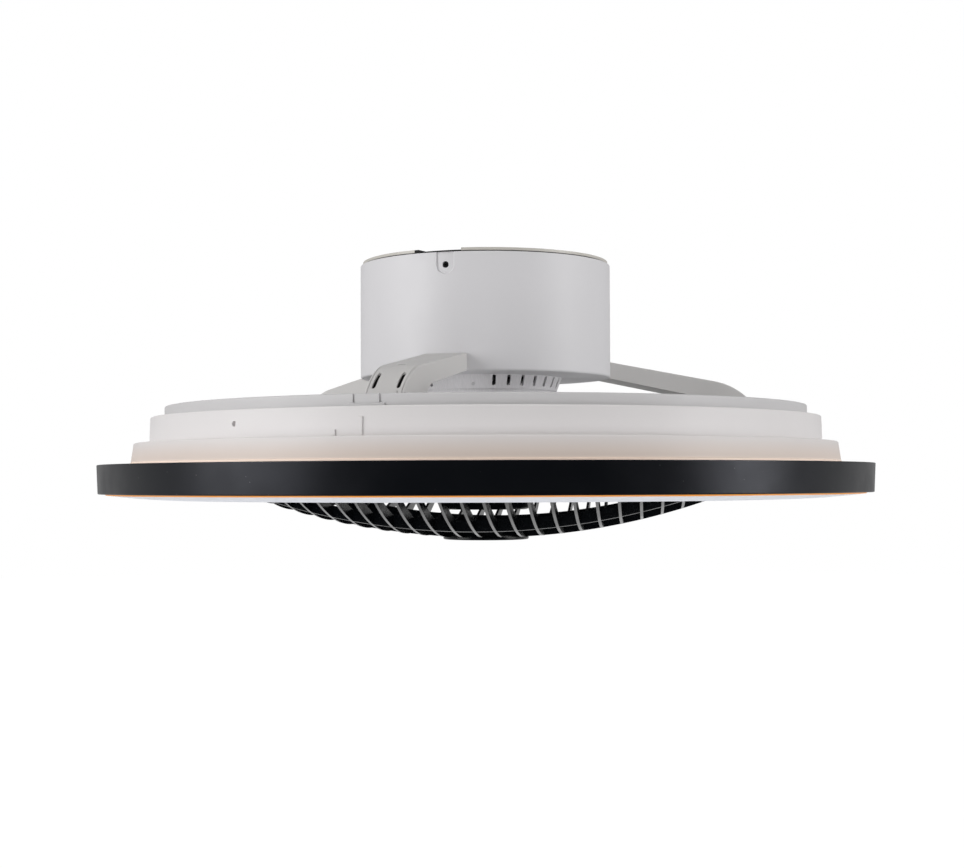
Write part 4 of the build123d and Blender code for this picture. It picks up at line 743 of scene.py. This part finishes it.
class FAN_OT_canopy(bpy.types.Operator):
    """Drum canopy with its pressed screw pockets, and the ceiling plate above it"""

    bl_idname = "ceiling_fan.canopy"
    bl_label = "Canopy"

    def execute(self, context):
        sizes = context.scene.fan_canopy
        top, base, radius = top_of("canopy"), base_of("canopy"), reach_of("canopy")
        wall, mouth, hole_radius, hole_depth, hole_edge = 1.6, 60.0, 2.4, 4.5, 0.15
        screw, depth = sizes.screw_height / MM, sizes.pocket_depth / MM
        half = sizes.pocket_width / MM / 2
        slope_start, slope_end, inner_share = half - 0.6, half + 0.3, 1.1
        stop_inner, stop_outer, stop_span = 91.0, 101.0, 2.0

        def pockets(angle, away, height):
            """Each pocket is a half round below its screw with straight sides above, sunk to one depth.
            A round hole in it takes both skins of the wall inwards, past the end of the screw."""
            sunk, bored = np.zeros_like(away), np.zeros_like(away)
            for azimuth in SCREW_AZIMUTHS:
                across = turn_from(angle, azimuth) * radius
                edge = np.hypot(across, np.minimum(height - screw, 0))
                sunk = sunk - depth * (1 - smooth_step(edge, slope_start, slope_end))
                hole = np.hypot(across, height - screw)
                open_part = 1 - smooth_step(hole, hole_radius - hole_edge, hole_radius + hole_edge)
                bored = bored - hole_depth * open_part
            outside, wall_skin = away > radius - 0.3, away > radius - wall - 0.01
            return np.where(outside, sunk + bored, np.where(wall_skin, inner_share * bored, 0))

        outline = denser(rounded_outline([
            (mouth, base, 0.3), (radius, base, sizes.lip / MM), (radius, top, 0.5),
            (radius - wall, top, 0.5), (radius - wall, base + wall, 1.0), (mouth, base + wall, 0.3)]),
            radius, 1e-6, (screw + 1, 9.2, 84))
        outline = denser(outline, radius - wall, 1e-6, (screw, 2.8, 24))
        angles = round_angles(240, [(azimuth, 4.6, 84) for azimuth in SCREW_AZIMUTHS])
        turned("canopy_shell", outline, "canopy_paint", "frame", ("canopy",), angles, pockets)
        plate_top = top_of("mounting_plate")
        # Painted shade: black rubber blocks at the end of each plate notch stand for the shade there
        add_bars("notch_shade_blocks", [
            arc_block(stop_inner, stop_outer, azimuth + NOTCH_TURN, stop_span, top, plate_top)
            for azimuth in SCREW_AZIMUTHS], "rubber", "frame")
        dress("plate_steel", "mounting_plate")
        # The grommet is rubber; the notch pads are dressed black as painted shade
        dress("rubber", "cable_grommet", "notch_pads")
        dress("terminal_plastic", "terminal_block")
        dress("black_screw", "canopy_screws")
        return {"FINISHED"}


class FAN_OT_motor(bpy.types.Operator):
    """Motor, vented cone, bearings and the electrics inside the canopy"""

    bl_idname = "ceiling_fan.motor"
    bl_label = "Motor and electrics"

    def execute(self, context):
        dress("cone_plastic", "motor_cone")
        dress("canopy_paint", "cone_screws")
        # Painted shade: the black base keeps the vents dark
        dress("base_enamel", "motor_base")
        dress("zinc_screw", "motor_base_screws")
        dress("lamination_steel", "stator_core")
        dress("copper", "stator_coils")
        dress("bearing_steel", "bearing_outer_rings", "bearing_inner_rings", "bearing_balls")
        dress("cage_plastic", "bearing_cages")
        dress("bell_steel", "rotor_bell")
        dress("magnet", "rotor_magnets")
        dress("shaft_steel", "motor_shaft")
        dress("case_plastic", "driver_case", "driver_lid")
        dress("board", "driver_board")
        dress("potting", "fan_controller")
        dress("lead_jacket", "lamp_lead")
        return {"FINISHED"}


class FAN_OT_arms(bpy.types.Operator):
    """Three arms with their slotted lids and screws"""

    bl_idname = "ceiling_fan.arms"
    bl_label = "Arms"

    def execute(self, context):
        bend = context.scene.fan_arms.bend / MM
        dress("arm_plastic", "arm_front", "arm_right", "arm_back")
        dress("lid_plastic", "arm_lid_front", "arm_lid_right", "arm_lid_back")
        dress("zinc_screw", "arm_screws_canopy", "arm_screws_frame")
        # Painted shade: black cloths behind the lids' slots keep them dark
        shade_cloths = [self.cloth(bend, math.radians(azimuth)) for azimuth in ARM_AZIMUTHS]
        add_bars("slot_shade_screens", shade_cloths, "rubber", "frame")
        return {"FINISHED"}

    def cloth(self, bend, turn):
        """Loops of a thin black cloth behind one lid's slots, painted shade that keeps the slots dark: a
        flat strip bent over an arc in the arm's middle plane, at (centre + radius sin t, height + radius
        cos t) for t along the bend."""
        along = np.radians(np.linspace(*SHADE_CLOTH_BEND, 14))[:, None]
        radius = bend - SHADE_CLOTH_DEPTH - SHADE_CLOTH_THICKNESS * np.array([1, 1, 0, 0])[None, :]
        away = BEND_CENTRE[0] + radius * np.sin(along)
        height = BEND_CENTRE[1] + radius * np.cos(along)
        aside = np.broadcast_to(SHADE_CLOTH_HALF_WIDTH * np.array([-1, 1, 1, -1]), away.shape)
        x = away * math.cos(turn) - aside * math.sin(turn)
        y = away * math.sin(turn) + aside * math.cos(turn)
        return np.stack([x, y, height], axis=-1)


class FAN_OT_frame_ring(bpy.types.Operator):
    """Upper ring with its snap blocks, the air duct and the lamp socket"""

    bl_idname = "ceiling_fan.frame_ring"
    bl_label = "Upper ring and duct"

    def execute(self, context):
        top, base, radius = top_of("frame_ring"), LEDGE_BASE - 0.4, 262.5
        duct, wall, lip = 197.0, context.scene.fan_rings.wall / MM, reach_of("lamp_body") - LIP_INSET
        groove, groove_span, groove_depth = 1.4, 4.24, 1.2
        ledge_top, ledge_span, ledge_reach, ledge_slope = LEDGE_BASE + 1.9, 5.75, 1.5, 0.8
        slope_middle = ledge_top - ledge_slope / 2

        def snaps(angle, away, height):
            """At each snap two upright grooves stop on a ledge: the grooves cut the face back to one
            radius, and the ledge stands out from it under a sloping top."""
            moved = np.zeros_like(away)
            for azimuth in SNAP_AZIMUTHS:
                for side in (-0.5, 0.5):
                    middle = azimuth + side * groove_span
                    cut = patch(angle, height, radius, middle, groove, ledge_top, top + 1)
                    moved = moved + cut * np.minimum(radius - groove_depth - away, 0)
                width = math.radians(ledge_span) * radius
                moved = moved + ledge_reach * patch(
                    angle, height, radius, azimuth, width, LEDGE_BASE - 1, slope_middle, ledge_slope)
            return np.where(away > radius - 1.3, moved, 0)

        outline = denser(rounded_outline([
            (duct, top, 0.3), (radius, top, context.scene.fan_rings.corner / MM), (radius, base, 0.2),
            (radius - wall, base, 0.2), (radius - wall, top - wall, 0.3), (duct, top - wall, 0.3)]),
            radius, 1e-6, (slope_middle, ledge_slope / 2 + 0.1, 13))
        offsets = (-groove_span / 2, groove_span / 2, -ledge_span / 2, ledge_span / 2)
        angles = round_angles(320, [
            (azimuth + offset, 0.24, 28) for azimuth in SNAP_AZIMUTHS for offset in offsets])
        turned("ring_shell", outline, "ring_plastic", "frame", ("frame_ring",), angles, snaps)

        # Each hook is a wall and a toe that points outwards, and between hooks a guide wall runs round.
        low, wall_top = base_of("frame_ring"), top - wall
        hook, hook_back, toe, toe_top = lip - 7.3, lip - 10.3, lip - 1.0, low + 2.5
        guide, guide_base, guide_turn, guide_span = lip - 0.3, base - 2.1, 61.0, 105.0
        hooks = []
        for azimuth in SNAP_AZIMUTHS:
            middle = azimuth + guide_turn
            hooks += [
                arc_block(hook_back, hook, azimuth, HOOK_SPAN, low, wall_top, 61),
                arc_block(hook_back, toe, azimuth, HOOK_SPAN, low, toe_top, 61),
                arc_block(guide - wall, guide, middle, guide_span, guide_base, wall_top, 61)]
        add_bars("ring_hooks", hooks, "ring_plastic", "frame")
        dress("duct_plastic", "air_duct")
        dress("socket_plastic", "lamp_socket")
        return {"FINISHED"}


class FAN_OT_lamp(bpy.types.Operator):
    """Lamp body, boards, screws and the black trim"""

    bl_idname = "ceiling_fan.lamp"
    bl_label = "Lamp and trim"

    def execute(self, context):
        rings = context.scene.fan_rings
        top, foot, reach = top_of("lamp_body"), base_of("lamp_body"), reach_of("lamp_body")
        middle, shelf, lower = rings.middle / MM, rings.shelf / MM, rings.lower / MM
        wall, corner, middle_low = rings.wall / MM, rings.corner / MM, rings.middle / MM + 0.6
        lip, inner = reach - LIP_INSET, reach - FOOT_INSET
        mark, mark_width, mark_top = SNAP_AZIMUTHS[0], 3.0, shelf + 13.4
        small_mark, small_width, small_top = SNAP_AZIMUTHS[0] - 4.1, 2.5, shelf + 4.8
        mark_face = middle_low + 0.9
        drain, drain_radius, drain_edge, drain_depth = top - DRAIN_DROP, 1.8, 0.2, 2.2

        def marks(angle, away, height):
            """Two raised marks stand on the middle step's face and a round drain hole goes into it."""
            raised = patch(angle, height, middle, mark, mark_width, shelf + 0.2, mark_top)
            raised = raised + patch(
                angle, height, middle, small_mark, small_width, shelf + 0.5, small_top)
            hole = np.hypot(turn_from(angle, DRAIN_AZIMUTH) * middle, height - drain)
            open_part = 1 - smooth_step(hole, drain_radius, drain_radius + drain_edge)
            moved = raised * (mark_face - away) - drain_depth * open_part
            face = (away > middle - 0.5) & (away < middle_low + 0.2) & (height > shelf + 0.1)
            return np.where(face, moved, 0)

        outline = denser(rounded_outline([
            (lip, top, 0.3), (middle, top, corner), (middle_low, shelf, 0.15), (lower, shelf, corner),
            (reach, foot, 0.3), (inner, foot, 0.3), (inner, foot + 3.0, 0.3),
            (reach - wall, foot + 3.0, 0.3), (lower - wall, shelf - wall, 0.3),
            (middle_low - wall, shelf - wall, 0.3), (middle - wall, top - wall, 0.3),
            (lip, top - wall, 0.3)]),
            middle + 0.3, 0.35, (drain, 2.3, 34), (mark_top, 0.2, 7), (small_top, 0.2, 7),
            (shelf + 0.35, 0.3, 9))
        angles = round_angles(320, [(mark, 0.4, 30), (small_mark, 0.35, 26), (DRAIN_AZIMUTH, 0.5, 34)])
        turned("lamp_shell", outline, "lamp_plastic", "lamp", ("lamp_body",), angles, marks)
        add_bars("lamp_lugs", [
            arc_block(lip - 7.0, lip + 2.0, azimuth, HOOK_SPAN, top - 5.0, top)
            for azimuth in SNAP_AZIMUTHS], "lamp_plastic", "lamp")
        post_circle, post_radius, post_low = inner - 3.7, 3.6, shelf - wall - 9.0
        add_bars("lamp_posts", [
            post(post_circle, azimuth, post_radius, post_low, shelf - 1.0)
            for azimuth in range(0, 360, 40)], "lamp_plastic", "lamp")
        dress("plate_steel", "lamp_plate")
        dress("socket_plastic", "contact_pad")
        dress("zinc_screw", "lamp_plate_screws")
        dress("black_screw", "trim_screws")
        dress("white_board", "led_boards")
        dress("led", "led_chips")
        top, base, reach = top_of("trim_ring"), base_of("trim_ring"), reach_of("trim_ring")
        draft, ledge, ledge_top = 1.0, 308.9, base + 1.6
        outline = rounded_outline([
            (inner, top, 0.3), (reach, top, 0.6), (reach - draft, base, 0.6), (ledge, base, 0.3),
            (ledge, ledge_top, 0.3), (reach - draft - wall, ledge_top, 0.3),
            (reach - wall, top - wall, 0.8), (inner, top - wall, 0.3)])
        turned("trim_band", outline, "black_trim", "lamp", ("trim_ring",))
        return {"FINISHED"}


class FAN_OT_lights(bpy.types.Operator):
    """Lit strips above and below the trim, and the opal diffuser"""

    bl_idname = "ceiling_fan.lights"
    bl_label = "Light strips and diffuser"

    def execute(self, context):
        top, base, reach = top_of("halo_strip"), base_of("halo_strip"), reach_of("halo_strip")
        inner = reach_of("lamp_body") - FOOT_INSET
        outline = rounded_outline([
            (inner, base, 0.2), (reach, base, 0.4), (reach, top, 0.4), (inner, top, 0.2)])
        turned("halo_band", outline, "halo", "lamp", ("halo_strip",))

        low, high, flange = base_of("amber_strip"), top_of("amber_strip"), reach_of("amber_strip")
        band, outer, flange_base = 4.1, flange - 2.3, high - 1.5
        outline = rounded_outline([
            (outer - band, low, 0.4), (outer, low, 0.6), (outer, flange_base, 0.2),
            (flange, flange_base, 0.2), (flange, high, 0.2), (outer - band, high, 0.2)])
        turned("amber_band", outline, "amber", "lamp", ("amber_strip",))

        # The diffuser's face is flat from the grille out to start, then rises as the square of the way
        # out to its side.
        face, crest, skin = base_of("diffuser"), top_of("diffuser"), 2.0
        edge, side, hub, start = low - 0.4, outer - band - 0.3, 203.5, 240.5
        along = np.linspace(0, 1, 24)
        rise = (edge - face) * along ** 2
        outer_skin = np.column_stack([start + (side - start) * along, face + rise])
        inner_skin = np.column_stack([start + (side - skin - start) * along, face + skin + rise])
        rim = [(side, high), (flange, high), (flange, high + skin), (side - skin, high + skin)]
        mouth = [(hub + skin, face + skin), (hub + skin, crest), (hub, crest), (hub, face)]
        outline = np.vstack([outer_skin, rim, inner_skin[::-1], mouth])
        turned("diffuser_skin", outline, "opal", "lamp", ("diffuser",))
        return {"FINISHED"}


class FAN_OT_blades(bpy.types.Operator):
    """Fan hub with its blades, screws, nut and cap"""

    bl_idname = "ceiling_fan.blades"
    bl_label = "Fan"

    def execute(self, context):
        dress("fan_plastic", "blade_hub", "hub_cap", *[f"fan_blade_{n}" for n in range(1, 6)])
        dress("zinc_screw", "blade_screws", "hub_washer", "hub_nut")
        return {"FINISHED"}


class FAN_OT_grille(bpy.types.Operator):
    """Dished grille of parallel slats with its cross walls, rim, collar and cap"""

    bl_idname = "ceiling_fan.grille"
    bl_label = "Grille"

    def execute(self, context):
        dress("black_grille", "grille", "grille_collar", "grille_cap")
        return {"FINISHED"}


# Stage


def softbox(name, place, target, width, height, power, mirrored=True):
    """A rectangular lamp at place that faces target; glossy pieces show it only when mirrored is on."""
    lamp = bpy.data.lights.new(name, "AREA")
    lamp.shape = "RECTANGLE"
    lamp.size, lamp.size_y = width, height
    lamp.energy = power
    holder = bpy.data.objects.new(name, lamp)
    bpy.context.scene.collection.objects.link(holder)
    holder.visible_glossy = mirrored
    holder.location = place
    holder.rotation_mode = "QUATERNION"
    holder.rotation_quaternion = (Vector(target) - Vector(place)).to_track_quat("-Z", "Y")
    return holder


def studio_world(scene):
    """White behind and beside the fan, dim towards the camera; the camera itself sees plain white."""
    world = bpy.data.worlds.new("studio")
    world.use_nodes = True
    scene.world = world
    world.node_tree.nodes.clear()
    graph = NodeGraph(world.node_tree)
    direction = graph.add("TexCoord").outputs["Generated"]
    depth = graph.range(graph.part(direction, "Y"), -0.05, 0.6, 0.02, 0.5, True)
    rays = graph.add("LightPath").outputs
    share, everywhere = 0.55, 0.3
    lighting = graph.math("MULTIPLY_ADD", depth, share, everywhere)
    unseen = graph.mix(rays["Is Glossy Ray"], lighting, depth, "FLOAT")
    clear = graph.math("MAXIMUM", rays["Is Camera Ray"], rays["Is Transmission Ray"])
    light = graph.add("Background")
    light.inputs["Color"].default_value = (1, 1, 1, 1)
    graph.feed(light.inputs["Strength"], graph.mix(clear, unseen, 1.0, "FLOAT"))
    graph.links.new(light.outputs["Background"], graph.add("OutputWorld").inputs["Surface"])


def floor_finish():
    """Pale floor: the camera sees it white, less where the fan's shadow falls. In reflections it is
    bright behind the fan and dark on the camera's side."""
    material = bpy.data.materials.new("pale_floor")
    material.use_nodes = True
    material.node_tree.nodes.clear()
    graph = NodeGraph(material.node_tree)
    rays = graph.add("LightPath").outputs
    matte = graph.add("BsdfDiffuse")
    matte.inputs["Color"].default_value = (0.82, 0.82, 0.82, 1)
    white, share = graph.add("Emission"), 0.7
    graph.feed(white.inputs["Strength"], graph.math("MULTIPLY", rays["Is Camera Ray"], share))
    both = graph.add("AddShader")
    graph.feed(both.inputs[0], matte.outputs["BSDF"])
    graph.feed(both.inputs[1], white.outputs["Emission"])
    depth = graph.part(graph.add("TexCoord").outputs["Object"], "Y")
    mirrored = graph.add("Emission")
    graph.feed(mirrored.inputs["Strength"], graph.range(depth, -1.0, 2.4, 0.03, 0.9, True))
    pick = graph.add("MixShader")
    graph.feed(pick.inputs["Fac"], rays["Is Glossy Ray"])
    graph.feed(pick.inputs[1], both.outputs["Shader"])
    graph.feed(pick.inputs[2], mirrored.outputs["Emission"])
    graph.feed(graph.add("OutputMaterial").inputs["Surface"], pick.outputs["Shader"])
    return material


class FAN_OT_stage(bpy.types.Operator):
    """Camera at the photograph's angle, soft lamps, pale surroundings and a floor"""

    bl_idname = "ceiling_fan.stage"
    bl_label = "Stage"

    def execute(self, context):
        scene, sizes = context.scene, context.scene.fan_stage
        scene.view_settings.view_transform = "Standard"
        studio_world(scene)
        self.lay_floor(scene, sizes.floor)
        softbox("left_softbox", (-2.0, -0.95, 0.35), FAN_MIDDLE, 1.4, 1.5, sizes.left)
        softbox("right_softbox", (2.05, -0.7, 0.3), FAN_MIDDLE, 0.9, 1.5, sizes.right)
        softbox("high_softbox", (-0.2, -1.3, 1.9), FAN_MIDDLE, 1.4, 1.0, sizes.high)
        softbox("front_softbox", (0.0, -2.3, -0.8), FAN_MIDDLE, 1.6, 1.0, sizes.front, False)
        gap, width = (0.0, 0.0, top_of("frame_ring") * MM + 0.002), 0.37
        duct = softbox("duct_lamp", gap, (0, 0, 0), width, width, sizes.duct, False)
        duct.visible_camera = False
        softbox("low_softbox", (0.0, -0.7, -2.3), FAN_MIDDLE, 2.0, 1.6, sizes.low, False)
        lens = bpy.data.cameras.new("camera")
        lens.sensor_width = 36.0
        lens.lens = CAMERA_LENS
        lens.clip_start, lens.clip_end = 0.05, 100.0
        camera = bpy.data.objects.new("camera", lens)
        scene.collection.objects.link(camera)
        camera.location = CAMERA_PLACE
        camera.rotation_mode = "QUATERNION"
        tilt = Quaternion((1, 0, 0), math.radians(CAMERA_TILT))
        camera.rotation_quaternion = tilt @ Quaternion((0, 0, 1), math.radians(CAMERA_ROLL))
        scene.camera = camera
        return {"FINISHED"}

    def lay_floor(self, scene, height):
        """A flat disc at that height: points at (radius cos a, radius sin a) on four circles."""
        angle = np.linspace(0, 2 * math.pi, 96, endpoint=False)
        radius = np.array([0.0, 2.0, 6.0, 40.0])[:, None]
        x, y = radius * np.cos(angle), radius * np.sin(angle)
        points = np.stack([x, y, np.full(x.shape, height)], axis=-1).reshape(-1, 3)
        faces = grid_faces(*x.shape, False, True).tolist()
        mesh = bpy.data.meshes.new("floor")
        mesh.from_pydata(points.tolist(), [], faces)
        tidy_mesh(mesh, False)
        mesh.materials.append(floor_finish())
        floor = bpy.data.objects.new("floor", mesh)
        scene.collection.objects.link(floor)


OPERATORS = (
    FAN_OT_stage, FAN_OT_canopy, FAN_OT_motor, FAN_OT_arms, FAN_OT_frame_ring, FAN_OT_lamp,
    FAN_OT_lights, FAN_OT_blades, FAN_OT_grille)
SETTINGS = {
    "fan_canopy": CanopySettings, "fan_arms": ArmSettings, "fan_rings": RingSettings,
    "fan_lights": LightSettings, "fan_blades": FanSettings, "fan_stage": StageSettings}


class FAN_PT_sidebar(bpy.types.Panel):
    """Sidebar list of the fan's pieces and their settings"""

    bl_idname = "FAN_PT_sidebar"
    bl_label = "Ceiling Fan"
    bl_space_type = "VIEW_3D"
    bl_region_type = "UI"
    bl_category = "Ceiling Fan"

    def draw(self, context):
        column = self.layout.column(align=True)
        for operator in OPERATORS:
            column.operator(operator.bl_idname)
        for key, group in SETTINGS.items():
            box = self.layout.box()
            box.label(text=group.__doc__)
            for name in group.__annotations__:
                box.prop(getattr(context.scene, key), name)


def register():
    for group in (*SETTINGS.values(), *OPERATORS, FAN_PT_sidebar):
        bpy.utils.register_class(group)
    for key, group in SETTINGS.items():
        setattr(bpy.types.Scene, key, PointerProperty(type=group))


def unregister():
    for key in SETTINGS:
        delattr(bpy.types.Scene, key)
    for group in (FAN_PT_sidebar, *reversed(OPERATORS), *reversed(SETTINGS.values())):
        bpy.utils.unregister_class(group)


def main():
    """Builds the stage and every piece."""
    register()
    for operator in OPERATORS:
        module, name = operator.bl_idname.split(".")
        getattr(getattr(bpy.ops, module), name)()


if __name__ == "__main__":
    main()
